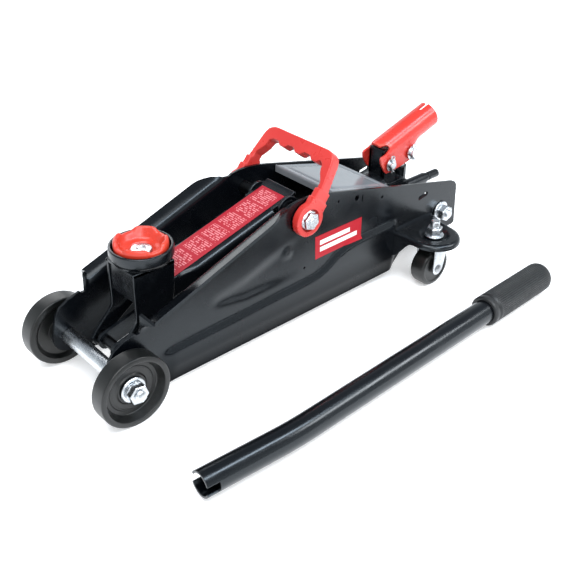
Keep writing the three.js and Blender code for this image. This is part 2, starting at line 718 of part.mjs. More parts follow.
/** The sheet-steel socket that takes the handle: a tube with an ear hanging down each side. */
function handleSocket() {
  const { tilt, radius, bore } = SOCKET;
  const along = (geometry) => geometry.rotateY(tilt).translate(-372.7, 0, 129.6);
  const tube = along(barX(0, 0, radius, -77, 14, 32));
  const hollow = along(barX(0, 0, bore, -80, 20, 32));
  const openFoot = along(block(-34, 20, -bore, bore, -20, 0));
  const lockSlot = along(block(-80, -63, -2.2, 2.2, 5, 20));
  const ear = new THREE.Shape();
  ear.moveTo(-351, 134);
  ear.lineTo(-352.5, 124);
  ear.quadraticCurveTo(-356, 109, -366, 109);
  ear.lineTo(-388, 111);
  ear.quadraticCurveTo(-407, 112.5, -415, 119);
  ear.quadraticCurveTo(-421, 125, -415, 134);
  ear.lineTo(-416, 143);
  ear.lineTo(-360, 126);
  ear.closePath();
  const ears = [-radius, bore].map((y0) => sheetXZ(ear, y0, y0 + radius - bore));
  return build([build([tube, ...ears], [hollow, openFoot, lockSlot])], [
    barY(SOCKET.x, SOCKET.z, 4.2 + GAP, -20, 20, 14),
    barY(SOCKET_LEVER.x, SOCKET_LEVER.z, SOCKET_LEVER.radius + GAP, -20, 20, 14),
  ]);
}

piece("handle_socket", handleSocket(), RED);

/** The pin the socket rocks on, with a flat head and a drilled end for its split pin. */
function rockerPin() {
  const shaft = barY(SOCKET.x, SOCKET.z, 4.2, -17.8, 20.4, 16);
  const head = barY(SOCKET.x, SOCKET.z, 6.4, -17.8, -15.9, 20);
  return build([shaft, head], [barZ(SOCKET.x, 18, 1.2, 100, 140, 8)]);
}

piece("rocker_pin", rockerPin(), ZINC);

/** The split pin through the end of the rocker pin. */
function splitPin() {
  const eye = new THREE.TorusGeometry(2.6, 0.9, 6, 14);
  const { x, z } = SOCKET;
  return build([barZ(x, 18, 0.9, z - 9, z + 6.4, 8), eye.rotateX(Math.PI / 2).translate(x, 18, z + 8.2)]);
}

piece("split_pin", splitPin(), ZINC);

/** The bolt across the socket's ears that works the pump plunger. */
function rollerBolt() {
  const { x, z, radius } = SOCKET_LEVER;
  const shaft = barY(x, z, radius, -20, 20, 16);
  const head = new THREE.CylinderGeometry(8, 8, 5, 6).translate(x, 18.4, z);
  const nut = new THREE.CylinderGeometry(8, 8, 4, 6).translate(x, -18, z);
  return build([shaft, head, nut]);
}

piece("roller_bolt", rollerBolt(), ZINC);

// ---------------------------------------------------------------- carry handle
const carryGroup = new THREE.Group();
carryGroup.position.set(ARM_PIVOT.x, 0, ARM_PIVOT.z);
carryGroup.rotation.y = -CARRY.lean;
jack.add(carryGroup);

/** The bail of the carry handle, drawn across the jack: legs, bar and four finger hollows. */
function bailOutline() {
  const { height, halfWidth } = CARRY;
  const under = height - 13;
  const shape = new THREE.Shape();
  shape.moveTo(54.6, 8);
  shape.lineTo(53.8, 30);
  shape.lineTo(halfWidth, height - 14);
  shape.quadraticCurveTo(halfWidth - 2, height, halfWidth - 16, height);
  shape.lineTo(16 - halfWidth, height);
  shape.quadraticCurveTo(2 - halfWidth, height, -halfWidth, height - 14);
  shape.lineTo(-53.8, 30);
  shape.lineTo(-54.6, 8);
  shape.lineTo(-46.8, 8);
  shape.lineTo(-46.6, 35);
  shape.lineTo(9 - halfWidth, under - 8);
  shape.quadraticCurveTo(11 - halfWidth, under + 1, -26, under + 1);
  for (const y of [-15, 1, 17]) {
    shape.quadraticCurveTo(y - 7, under - 3.4, y - 4, under - 3.4);
    shape.lineTo(y + 1, under - 3.4);
    shape.quadraticCurveTo(y + 4, under + 1, y + 6, under + 1);
  }
  shape.quadraticCurveTo(halfWidth - 11, under + 1, halfWidth - 9, under - 8);
  shape.lineTo(46.6, 35);
  shape.lineTo(46.8, 8);
  shape.closePath();
  return shape;
}

function carryHandle() {
  const depth = 6.5;
  const eye = { inner: PLATE_Y + 0.8, outer: 54.8, radius: 17 };
  const added = [sectionYZ(bailOutline(), -depth, depth)];
  const removed = [];
  for (const s of [-1, 1]) {
    const span = (a, b) => [s * a, s * b].sort((p, q) => p - q);
    added.push(barY(0, 0, eye.radius, ...span(eye.inner, eye.outer), 28));
    added.push(block(-11.5, 11.5, ...span(eye.inner, eye.outer), 8, 21));
    added.push(block(-9, 9, ...span(eye.inner, 53.8), 18, 30));
    removed.push(barY(0, 0, 6.6, ...span(40, 60), 16));
    removed.push(barY(0, 0, 11.6, ...span(51.3, 60), 24));
  }
  return build(added, removed);
}

piece("carry_handle", carryHandle(), RED, carryGroup);

// ---------------------------------------------------------------- front wheels
/** A cast wheel: tread, deep web on the outside, hub running on the axle. */
function frontWheel() {
  const { radius, inner, outer, bore } = WHEEL;
  return turnedY([
    [bore, PLATE_Y + 0.6],
    [13, PLATE_Y + 0.6],
    [14, inner + 3.6],
    [25.5, inner + 3.6],
    [28.5, inner],
    [radius - 0.8, inner],
    [radius, inner + 0.8],
    [radius, outer - 0.8],
    [radius - 0.8, outer],
    [29.6, outer],
    [26.4, inner + 8.4],
    [15.6, inner + 7.6],
    [14.8, 61.4],
    [bore, 61.4],
    [bore, PLATE_Y + 0.6],
  ], 0, WHEEL.radius, 36);
}

pair("front_wheel", frontWheel(), NYLON);

// ---------------------------------------------------------------- casters
const FORK = { half: 13, leg: 2.4, top: CASTER.pad - SHEET - 3.4 };

/** The zinc fork: a square top with two legs that narrow to round feet at the wheel pin. */
function casterFork() {
  const { x, y, radius, trail } = CASTER;
  const wheelX = x - trail;
  const leg = new THREE.Shape();
  leg.moveTo(x + 10, FORK.top);
  leg.lineTo(x - 11, FORK.top);
  leg.lineTo(wheelX - 7.4, radius - 2);
  leg.absarc(wheelX, radius, 7.4, Math.PI + 0.2, 2 * Math.PI - 0.2, false);
  leg.closePath();
  const legs = [y - FORK.half, y + FORK.half - FORK.leg].map((y0) => sheetXZ(leg, y0, y0 + FORK.leg));
  const top = block(x - 11, x + 10, y - FORK.half, y + FORK.half, FORK.top - 2.4, FORK.top);
  const stud = barZ(x, y, 5, FORK.top - 1, CASTER.pad + 17, 16);
  return build([top, stud, ...legs], [barY(wheelX, radius, 3 + GAP, y - 20, y + 20, 14)]);
}

pair("caster_fork", casterFork(), ZINC);

function casterWheel() {
  const { x, y, radius, width, trail } = CASTER;
  const half = width / 2;
  return turnedY([
    [3 + GAP, y - half - 0.8],
    [6, y - half - 0.8],
    [6, y - half + 1],
    [radius - 5, y - half + 1],
    [radius - 4, y - half],
    [radius - 1, y - half],
    [radius, y - half + 1.6],
    [radius, y + half - 1.6],
    [radius - 1, y + half],
    [radius - 4, y + half],
    [radius - 5, y + half - 1],
    [6, y + half - 1],
    [6, y + half + 0.8],
    [3 + GAP, y + half + 0.8],
    [3 + GAP, y - half - 0.8],
  ], x - trail, radius, 28);
}

pair("caster_wheel", casterWheel(), NYLON);

/** The rivet the caster wheel turns on. */
function casterRivet() {
  const { x, y, radius, trail } = CASTER;
  const end = FORK.half + GAP;
  const shaft = barY(x - trail, radius, 3, y - end - 1.2, y + end + 1.2, 14);
  const heads = [-1, 1].map((s) => barY(x - trail, radius, 4.6, Math.min(y + s * end, y + s * (end + 1.6)),
    Math.max(y + s * end, y + s * (end + 1.6)), 16));
  return build([shaft, ...heads]);
}

pair("caster_rivet", casterRivet(), STEEL);

/** The thrust ring between the fork and the underside of the ear. */
function casterBearing() {
  const z0 = FORK.top + GAP;
  return build([barZ(CASTER.x, CASTER.y, 9.5, z0, CASTER.pad - SHEET - GAP, 20)], [
    barZ(CASTER.x, CASTER.y, 5 + GAP, z0 - 2, CASTER.pad, 14),
  ]);
}

pair("caster_bearing", casterBearing(), STEEL);

/** The nut that holds the caster's stud on top of the ear. */
function casterNut() {
  const z0 = CASTER.pad - 1 + GAP;
  const hexagon = new THREE.CylinderGeometry(8.6, 8.6, 9, 6).rotateX(Math.PI / 2);
  const nut = hexagon.translate(CASTER.x, CASTER.y, z0 + 5.8);
  return build([barZ(CASTER.x, CASTER.y, 10.5, z0, z0 + 2, 20), nut], [
    barZ(CASTER.x, CASTER.y, 5 + GAP, z0 - 2, z0 + 20, 14),
  ]);
}

pair("caster_nut", casterNut(), ZINC);

/** The flange bolts that clamp the side plates to the pump base. */
function rearBolt() {
  const { x, z } = REAR_BOLT;
  const hexagon = new THREE.CylinderGeometry(9.4, 9.4, 9, 6).translate(x, PLATE_Y + 7.4, z);
  return build([
    barY(x, z, 5, PLATE_Y - 17, PLATE_Y + 14.5, 14),
    barY(x, z, 11.5, PLATE_Y + GAP, PLATE_Y + 3, 24),
    hexagon,
  ]);
}

pair("rear_bolt", rearBolt(), ZINC);

// ---------------------------------------------------------------- loose pump handle
const HANDLE_FRONT = new THREE.Vector3(14.5, LOOSE.y - 6, LOOSE.grip);
const HANDLE_BEND = new THREE.Vector3(-80, LOOSE.y, LOOSE.grip);
const HANDLE_REAR = new THREE.Vector3(-455, LOOSE.y - 10, LOOSE.grip);
const GRIP_LENGTH = 105;

/** A ring of points square to the handle's centre line, at a point on it with a given heading. */
function handleRing(centre, yaw, radius, sides = 24) {
  return Array.from({ length: sides }, (_, i) => {
    const angle = (2 * Math.PI * i) / sides;
    const across = radius * Math.cos(angle);
    return [
      centre.x + across * Math.sin(yaw),
      centre.y - across * Math.cos(yaw),
      centre.z + radius * Math.sin(angle),
    ];
  });
}

/** The painted tube: bent a little, notched across its open front end, let into the grip. */
function handleTube() {
  const wall = 2.2;
  const bendSteps = 6;
  const intoGrip = (GRIP_LENGTH - 14.5) / HANDLE_REAR.distanceTo(HANDLE_BEND);
  const rearEnd = HANDLE_REAR.clone().lerp(HANDLE_BEND, intoGrip);
  const before = HANDLE_BEND.clone().lerp(HANDLE_FRONT, 0.22);
  const after = HANDLE_BEND.clone().lerp(HANDLE_REAR, 0.055);
  const bend = new THREE.QuadraticBezierCurve3(before, HANDLE_BEND, after);
  const heading = (from, to) => Math.atan2(to.y - from.y, to.x - from.x);
  const rings = [handleRing(HANDLE_FRONT, heading(HANDLE_FRONT, before), LOOSE.tube)];
  for (let i = 0; i <= bendSteps; i += 1) {
    const tangent = bend.getTangent(i / bendSteps);
    const yaw = Math.atan2(tangent.y, tangent.x);
    rings.push(handleRing(bend.getPoint(i / bendSteps), yaw, LOOSE.tube));
  }
  rings.push(handleRing(rearEnd, heading(after, rearEnd), LOOSE.tube));
  const bore = new THREE.CylinderGeometry(LOOSE.tube - wall, LOOSE.tube - wall, 60, 24);
  const mouth = HANDLE_FRONT.clone().lerp(HANDLE_BEND, 0.1);
  bore.rotateZ(Math.PI / 2 + heading(HANDLE_BEND, HANDLE_FRONT)).translate(mouth.x, mouth.y, mouth.z);
  const notch = block(-10, 12, -30, 30, -2.6, 2.6).translate(HANDLE_FRONT.x, HANDLE_FRONT.y, LOOSE.grip);
  return build([loft(rings)], [bore, notch]);
}

/** The rubber grip, with grooves along it and a rounded end. */
function handleGrip() {
  const length = GRIP_LENGTH;
  const grip = new THREE.LatheGeometry([
    [LOOSE.tube + GAP, 0],
    [LOOSE.grip, 0],
    [LOOSE.grip, length - 5],
    [LOOSE.grip - 1.6, length - 1.4],
    [LOOSE.grip - 5, length],
    [0, length],
    [0, 15],
    [LOOSE.tube + GAP, 15],
    [LOOSE.tube + GAP, 0],
  ].map(([radius, y]) => new THREE.Vector2(radius, y)), 32);
  const axis = HANDLE_REAR.clone().sub(HANDLE_BEND);
  const yaw = Math.atan2(axis.y, axis.x);
  const start = HANDLE_REAR.clone().lerp(HANDLE_BEND, GRIP_LENGTH / axis.length());
  return grip.rotateZ(-Math.PI / 2).rotateZ(yaw).translate(start.x, start.y, start.z);
}

const handleGroup = new THREE.Group();
jack.add(handleGroup);
piece("handle_tube", handleTube(), BLACK, handleGroup);
piece("handle_grip", handleGrip(), GRIP, handleGroup);

// ---------------------------------------------------------------- origin at the bottom centre
const box = new THREE.Box3().setFromObject(jack, true);
jack.position.set(-(box.min.x + box.max.x) / 2, -(box.min.y + box.max.y) / 2, -box.min.z);
jack.updateMatrixWorld(true);

export default jack;
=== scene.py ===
"""The looks of a compact hydraulic floor jack, with its loose pump handle beside it.

Lengths in the helper calls are millimetres in the jack's own axes: x = 0 at the front axle,
y = 0 on the middle plane, z = 0 on the floor. P() turns them into the frame's metres.
"""
import math

import bmesh
import bpy
import numpy as np
from mathutils import Matrix, Vector
from mathutils.geometry import delaunay_2d_cdt


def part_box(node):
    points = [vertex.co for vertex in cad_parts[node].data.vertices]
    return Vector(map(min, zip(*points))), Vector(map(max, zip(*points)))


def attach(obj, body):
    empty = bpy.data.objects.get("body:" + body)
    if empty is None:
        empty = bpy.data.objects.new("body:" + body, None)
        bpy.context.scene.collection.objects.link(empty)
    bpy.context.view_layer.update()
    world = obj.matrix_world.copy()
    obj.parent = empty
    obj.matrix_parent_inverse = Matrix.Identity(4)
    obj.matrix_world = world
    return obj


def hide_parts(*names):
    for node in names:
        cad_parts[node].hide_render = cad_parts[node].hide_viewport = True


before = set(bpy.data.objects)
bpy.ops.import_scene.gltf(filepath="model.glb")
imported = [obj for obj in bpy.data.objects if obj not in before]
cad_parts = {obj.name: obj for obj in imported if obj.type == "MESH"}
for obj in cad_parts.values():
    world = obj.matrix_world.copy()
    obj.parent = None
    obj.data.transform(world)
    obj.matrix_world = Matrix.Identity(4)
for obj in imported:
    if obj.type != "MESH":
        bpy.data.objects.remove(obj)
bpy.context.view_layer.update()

_low, _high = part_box("front_axle")
X0 = (_low[0] + _high[0]) / 2
Y0 = (_low[1] + _high[1]) / 2
MM = 0.001

# ------------------------------------------------------------------ driving sizes, mm
WHEEL_R = 35.0
PLATE_Y = 46.0
PIVOT = (-214.0, 120.5)
SADDLE_PIN = (-60.0, 80.0)
LINK_PIN = (-20.0, 38.0)
LINK_REAR = (-174.0, 78.5)
LEVER_PIN = (-242.9, 82.2)
ARM_SLOPE = math.radians(15.4)
RAM_Z = 77.5
SADDLE_X, SEAT_Z, RIM_Z = -59.2, 116.0, 130.0
CASTER_X, CASTER_Y, CASTER_R, TRAIL = -376.0, 80.0, 21.5, -3.0
EAR_TOP, EAR_R, FORK_HALF = 58.0, 28.5, 13.0
SOCKET_PIN = (-371.0, 118.5)
ROLLER = (-405.0, 123.4)
SOCKET_FOOT = (-372.7, 129.6)
SOCKET_TILT = math.radians(17.4)
PLUNGER_X = -402.0
BOSS_REAR, BASE_TOP = -450.0, 95.0
VALVE_Z = 72.5
BOLT = (-427.0, 56.0)
LEAN = math.radians(38.9)
SIDES = ((1, "left"), (-1, "right"))


def P(x, y, z):
    """A point of the jack, in millimetres, as a point of the frame, in metres."""
    return Vector((X0 + x * MM, Y0 + y * MM, z * MM))


# ------------------------------------------------------------------ shader helpers
def shader(name, color, rough, metal=0.0, **extra):
    mat = bpy.data.materials.new(name)
    mat.use_nodes = True
    bsdf = mat.node_tree.nodes["Principled BSDF"]
    bsdf.inputs["Base Color"].default_value = (*color, 1)
    bsdf.inputs["Roughness"].default_value = rough
    bsdf.inputs["Metallic"].default_value = metal
    for key, value in extra.items():
        bsdf.inputs[key.replace("_", " ")].default_value = value
    return mat, mat.node_tree, bsdf


def node(tree, kind, inputs=None, **props):
    made = tree.nodes.new(kind)
    for key, value in props.items():
        setattr(made, key, value)
    for key, value in (inputs or {}).items():
        if isinstance(value, bpy.types.NodeSocket):
            tree.links.new(value, made.inputs[key])
        else:
            made.inputs[key].default_value = value
    return made


def noise(tree, scale, detail=3.0, rough=0.5, stretch=(1, 1, 1), coords=None):
    where = coords or node(tree, "ShaderNodeTexCoord").outputs["Object"]
    mapped = node(tree, "ShaderNodeMapping", {"Vector": where, "Scale": stretch})
    tex = node(tree, "ShaderNodeTexNoise",
               {"Vector": mapped.outputs[0], "Scale": scale, "Detail": detail, "Roughness": rough})
    return tex.outputs["Fac"]


def spread(tree, value, low, high, to_low, to_high):
    return node(tree, "ShaderNodeMapRange",
                {"Value": value, "From Min": low, "From Max": high, "To Min": to_low,
                 "To Max": to_high}).outputs["Result"]


def calc(tree, operation, a, b=0.0):
    """The output of one arithmetic node."""
    return node(tree, "ShaderNodeMath", {0: a, 1: b}, operation=operation).outputs[0]


def mix(tree, fac, a, b):
    made = node(tree, "ShaderNodeMix", data_type="RGBA")
    for index, value in ((0, fac), (6, a), (7, b)):
        if isinstance(value, bpy.types.NodeSocket):
            tree.links.new(value, made.inputs[index])
        else:
            made.inputs[index].default_value = value if index == 0 else (*value, 1)
    return made.outputs[2]


def bump(tree, bsdf, height, strength, distance):
    made = node(tree, "ShaderNodeBump", {"Height": height, "Strength": strength, "Distance": distance})
    tree.links.new(made.outputs[0], bsdf.inputs["Normal"])


# ------------------------------------------------------------------ materials
def painted(name, base, tint, rough, wear_and_edge_highlight, coat=0.0, peel=0.05, foot=None):
    """Gloss paint: orange peel, cloudy sheen, sharp edges lightened both as worn paint and as a painted
    highlight, reflections given a painted bluish tint, and painted shade: reflections that fade out towards
    the foot.
    """
    # Specular_Tint gives every reflection a painted bluish tint of the light.
    mat, tree, bsdf = shader(name, base, rough, 0.0, Coat_Weight=coat, Coat_Roughness=0.12,
                             Specular_Tint=(0.86, 0.94, 1.0, 1.0))
    toned = mix(tree, spread(tree, noise(tree, 14, 4), 0.35, 0.7, 0, 1), base, tint)
    # Sharp edges turn towards the edge colour: partly worn paint, partly a painted highlight where a
    # rounded edge would catch the light.
    point = node(tree, "ShaderNodeNewGeometry").outputs["Pointiness"]
    rim = spread(tree, point, 0.53, 0.62, 0.0, 0.55)
    patchy = spread(tree, noise(tree, 70, 4), 0.5, 0.7, 0.0, 1.0)
    rubbed_and_highlit_edges = mix(tree, calc(tree, "MULTIPLY", rim, patchy), toned, wear_and_edge_highlight)
    tree.links.new(rubbed_and_highlit_edges, bsdf.inputs["Base Color"])
    sheen = spread(tree, noise(tree, 38, 5), 0.3, 0.75, rough * 0.8, rough * 1.25)
    tree.links.new(sheen, bsdf.inputs["Roughness"])
    # Painted shade: the specular level falls from 0.38 to 0.03 towards the bottom of the piece, standing in
    # for the floor's shadow seen in its reflections.
    if foot:
        where = node(tree, "ShaderNodeTexCoord").outputs["Object"]
        height = node(tree, "ShaderNodeSeparateXYZ", {0: where}).outputs[2]
        tree.links.new(spread(tree, height, *foot, 0.03, 0.38), bsdf.inputs["Specular IOR Level"])
    bump(tree, bsdf, noise(tree, 420, 2), peel, 0.0003)
    return mat


def plated(name, base, rough, streak=(1, 1, 14), grain=0.25):
    """Plated or turned steel: fine directional streaks and uneven brightness."""
    mat, tree, bsdf = shader(name, base, rough, 1.0)
    lines = noise(tree, 300, 3, 0.6, streak)
    dark = tuple(c * 0.72 for c in base)
    clouded = mix(tree, spread(tree, noise(tree, 60, 4), 0.35, 0.7, 0, 1), dark, base)
    tree.links.new(clouded, bsdf.inputs["Base Color"])
    tree.links.new(spread(tree, lines, 0.3, 0.7, rough * 0.7, rough * 1.5), bsdf.inputs["Roughness"])
    bump(tree, bsdf, lines, grain, 0.0002)
    return mat


def moulded(name, base, tint, rough, grain_scale=900, grain=0.2):
    """Moulded nylon or rubber: a fine grain and slight scuffing."""
    mat, tree, bsdf = shader(name, base, rough)
    scuffed = mix(tree, spread(tree, noise(tree, 26, 5), 0.4, 0.75, 0, 1), base, tint)
    tree.links.new(scuffed, bsdf.inputs["Base Color"])
    sheen = spread(tree, noise(tree, 120, 4), 0.3, 0.7, rough * 0.85, rough * 1.15)
    tree.links.new(sheen, bsdf.inputs["Roughness"])
    bump(tree, bsdf, noise(tree, grain_scale, 2), grain, 0.0003)
    return mat


def broken_bars(tree, u, v, rows, row_height, run, scale, density):
    """Rows of broken bars: small print with no letters in it."""
    row = calc(tree, "MULTIPLY", v, rows)
    band = calc(tree, "LESS_THAN", calc(tree, "FRACT", row), row_height)
    at = node(tree, "ShaderNodeCombineXYZ",
              {0: calc(tree, "MULTIPLY", u, run), 1: calc(tree, "FLOOR", row)})
    tex = node(tree, "ShaderNodeTexNoise", {"Vector": at.outputs[0], "Scale": scale, "Detail": 1.0})
    ink = calc(tree, "GREATER_THAN", tex.outputs["Fac"], density)
    return calc(tree, "MULTIPLY", band, ink)


def uv_split(tree):
    uv = node(tree, "ShaderNodeTexCoord").outputs["UV"]
    parts = node(tree, "ShaderNodeSeparateXYZ", {0: uv})
    return parts.outputs[0], parts.outputs[1]


def between(tree, value, low, high):
    above = calc(tree, "GREATER_THAN", value, low)
    return calc(tree, "MULTIPLY", above, calc(tree, "LESS_THAN", value, high))


def print_on(tree, bsdf, ink, ground, pale):
    """Prints the ink on the label's ground and leaves its film slightly uneven."""
    tree.links.new(mix(tree, ink, ground, pale), bsdf.inputs["Base Color"])
    bump(tree, bsdf, noise(tree, 300, 3), 0.05, 0.0003)


def label_small_print():
    """The arm's label: rows of pale broken bars on red, in seven blocks."""
    red, pale = (0.33, 0.006, 0.018), (0.66, 0.24, 0.26)
    mat, tree, bsdf = shader("label_small_print", red, 0.42, 0.0, Specular_IOR_Level=0.25)
    u, v = uv_split(tree)
    ink = broken_bars(tree, u, v, 64, 0.55, 9.0, 1.4, 0.46)
    block = calc(tree, "FRACT", calc(tree, "MULTIPLY", v, 7.0))
    for part in (between(tree, u, 0.14, 0.86), calc(tree, "LESS_THAN", block, 0.86), 0.8):
        ink = calc(tree, "MULTIPLY", ink, part)
    print_on(tree, bsdf, ink, red, pale)
    return mat


def label_plain():
    """The side label: a red field with two plain bars."""
    red, pale = (0.37, 0.006, 0.015), (0.85, 0.8, 0.8)
    mat, tree, bsdf = shader("label_plain", red, 0.4, 0.0, Specular_IOR_Level=0.25)
    u, v = uv_split(tree)
    bars = [calc(tree, "MULTIPLY", between(tree, v, low, low + 0.2), between(tree, u, 0.1, end))
            for low, end in ((0.56, 0.74), (0.26, 0.9))]
    print_on(tree, bsdf, calc(tree, "MAXIMUM", *bars), red, pale)
    return mat


# The fourth colour of each painted() finish is its edge colour: partly worn paint, partly a painted
# highlight.
GLOSS_BLACK = ((0.0012, 0.0016, 0.0024), (0.0018, 0.0026, 0.004), 0.24, (0.03, 0.035, 0.04))
BLACK = painted("black_gloss_paint", *GLOSS_BLACK)
# The side plates' paint has painted shade: their reflections fade out towards the foot.
PLATE = painted("black_plate_paint_shaded_foot", *GLOSS_BLACK, foot=(0.010, 0.046))
COVER = painted("grey_gloss_cover", (0.15, 0.165, 0.18), (0.2, 0.215, 0.23), 0.22,
                (0.3, 0.32, 0.34), coat=0.3)
RED = painted("red_gloss_paint", (0.5, 0.028, 0.02), (0.58, 0.04, 0.028), 0.26, (0.7, 0.16, 0.12))
CUP_RED = painted("orange_red_paint", (0.5, 0.03, 0.014), (0.58, 0.045, 0.022), 0.3,
                  (0.75, 0.25, 0.16))
PLASTIC = moulded("red_plastic", (0.5, 0.026, 0.022), (0.56, 0.04, 0.032), 0.3, 500, 0.06)
ZINC = plated("bright_zinc", (0.72, 0.75, 0.78), 0.24)
STEEL = plated("turned_steel", (0.46, 0.47, 0.49), 0.3)
DARK_STEEL = plated("blackened_steel", (0.05, 0.052, 0.056), 0.32)
NYLON = moulded("black_nylon", (0.0025, 0.003, 0.003), (0.005, 0.0055, 0.005), 0.34, 700, 0.06)
RUBBER = moulded("grip_rubber", (0.006, 0.007, 0.008), (0.011, 0.012, 0.013), 0.5, 1100, 0.2)
PRINT = label_small_print()
LABEL = label_plain()


# ------------------------------------------------------------------ mesh helpers
def soften(obj, width, segments=2, angle=40):
    """Rounds the edges that turn by more than an angle."""
    edge = obj.modifiers.new("edges", "BEVEL")
    edge.width = width * MM
    edge.segments = segments
    edge.limit_method = "ANGLE"
    edge.angle_limit = math.radians(angle)
    return edge


def finish(mesh, name, look, body, nodes, bevel=0.5, angle=38, solid=0.0, shade=38, segments=2):
    """Makes one piece of a mesh: material, modifiers, the body it rides on, what it stands for."""
    obj = bpy.data.objects.new(name, mesh)
    bpy.context.scene.collection.objects.link(obj)
    mesh.materials.append(look)
    mesh.shade_smooth()
    mesh.set_sharp_from_angle(angle=math.radians(shade))
    if solid:
        thick = obj.modifiers.new("gauge", "SOLIDIFY")
        thick.thickness = abs(solid) * MM
        thick.offset = -1 if solid > 0 else 1
        thick.use_quality_normals = True
    if bevel:
        soften(obj, bevel, segments, angle)
        obj.modifiers.new("normals", "WEIGHTED_NORMAL").keep_sharp = True
    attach(obj, body)
    if nodes:
        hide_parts(*nodes)
    return obj


def into_mesh(bm, name, agree=True):
    """Ends the work on a bmesh and returns it as a mesh, its faces made to agree."""
    if agree:
        bmesh.ops.recalc_face_normals(bm, faces=bm.faces)
    mesh = bpy.data.meshes.new(name)
    bm.to_mesh(mesh)
    bm.free()
    return mesh


def drop_loose(bm):
    loose = [v for v in bm.verts if not v.link_faces]
    bmesh.ops.delete(bm, geom=loose, context="VERTS")


def mesh_of(name, verts, faces, weld=True):
    """A mesh of points and faces; faces with a repeated point or already made are left out."""
    bm = bmesh.new()
    made = [bm.verts.new(v) for v in verts]
    for face in faces:
        if len(set(face)) == len(face):
            try:
                bm.faces.new([made[i] for i in face])
            except ValueError:
                pass
    if weld:
        bmesh.ops.remove_doubles(bm, verts=bm.verts, dist=1e-6)
    return into_mesh(bm, name)


def lofted(name, rows, around=False, caps=False, weld=True):
    """A skin through rows of points; around closes every row, caps close the two ends."""
    wide = len(rows[0])
    faces = []
    for i in range(len(rows) - 1):
        for k in range(wide if around else wide - 1):
            n = (k + 1) % wide
            faces.append((i * wide + k, i * wide + n, (i + 1) * wide + n, (i + 1) * wide + k))
    if caps:
        last = (len(rows) - 1) * wide
        faces += [tuple(range(wide)), tuple(range(last, last + wide))]
    return mesh_of(name, [P(*point) for row in rows for point in row], faces, weld)


def faced(mesh, score, weld=0.0):
    """Makes a skin's faces agree, and turns it over if the score of them is negative."""
    bm = bmesh.new()
    bm.from_mesh(mesh)
    if weld:
        bmesh.ops.remove_doubles(bm, verts=bm.verts, dist=weld * MM)
    bmesh.ops.recalc_face_normals(bm, faces=bm.faces)
    bm.normal_update()
    if sum(score(face) * face.calc_area() for face in bm.faces) < 0:
        bmesh.ops.reverse_faces(bm, faces=bm.faces)
    bm.to_mesh(mesh)
    bm.free()
    return mesh


def joined(name, meshes):
    """One mesh holding several."""
    bm = bmesh.new()
    for mesh in meshes:
        bm.from_mesh(mesh)
        bpy.data.meshes.remove(mesh)
    return into_mesh(bm, name, agree=False)


def arc(cx, cz, r, a0, a1, steps=12):
    """Points on an arc, angles in degrees."""
    turn = [math.radians(a0 + (a1 - a0) * i / steps) for i in range(steps + 1)]
    return [(cx + r * math.cos(a), cz + r * math.sin(a)) for a in turn]


def span(side, inner, outer):
    """Two distances from the middle on one side of the jack, as y values, the lower first."""
    return sorted((side * inner, side * outer))


def on_side(side, *profile):
    """A profile of (radius, distance from the middle) pairs, put on one side of the jack."""
    return [(r, side * out) for r, out in profile]


def ring(cx, cz, r, steps=28):
    return arc(cx, cz, r, 0, 360, steps)[:-1]


def rounded(points, steps=5):
    """A closed outline of (x, z, corner radius) points with its corners rounded."""
    out = []
    count = len(points)
    for i, (x, z, r) in enumerate(points):
        here = Vector((x, z))
        if not r:
            out.append((x, z))
            continue
        back = Vector(points[i - 1][:2]) - here
        ahead = Vector(points[(i + 1) % count][:2]) - here
        half = back.angle(ahead) / 2
        reach = min(r / math.tan(half), back.length * 0.49, ahead.length * 0.49)
        start, end = here + back.normalized() * reach, here + ahead.normalized() * reach
        for k in range(steps + 1):
            t = k / steps
            point = start * (1 - t) ** 2 + here * 2 * t * (1 - t) + end * t * t
            out.append((point.x, point.y))
    return out


def clear_points(points, loops, gap):
    """The points that lie inside the first loop, outside the others, and off every edge."""
    pts = np.array(points)
    keep = np.zeros(len(pts), bool)
    near = np.zeros(len(pts), bool)
    for loop in loops:
        a = np.array(loop)
        b = np.roll(a, -1, axis=0)
        for (ax, ay), (bx, by) in zip(a, b):
            dx, dy = bx - ax, by - ay
            t = ((pts[:, 0] - ax) * dx + (pts[:, 1] - ay) * dy) / max(dx * dx + dy * dy, 1e-9)
            t = np.clip(t, 0, 1)
            near |= np.hypot(pts[:, 0] - ax - dx * t, pts[:, 1] - ay - dy * t) < gap
            if ay != by:
                crossing = (ay > pts[:, 1]) != (by > pts[:, 1])
                keep ^= crossing & (pts[:, 0] < dx * (pts[:, 1] - ay) / dy + ax)
    return [tuple(p) for p, ok in zip(points, keep & ~near) if ok]


def resample(loop, step):
    """The loop with no side longer than the step."""
    out = []
    for a, b in zip(loop, loop[1:] + loop[:1]):
        parts = max(1, math.ceil(math.dist(a, b) / step))
        for k in range(parts):
            out.append((a[0] + (b[0] - a[0]) * k / parts, a[1] + (b[1] - a[1]) * k / parts))
    return out


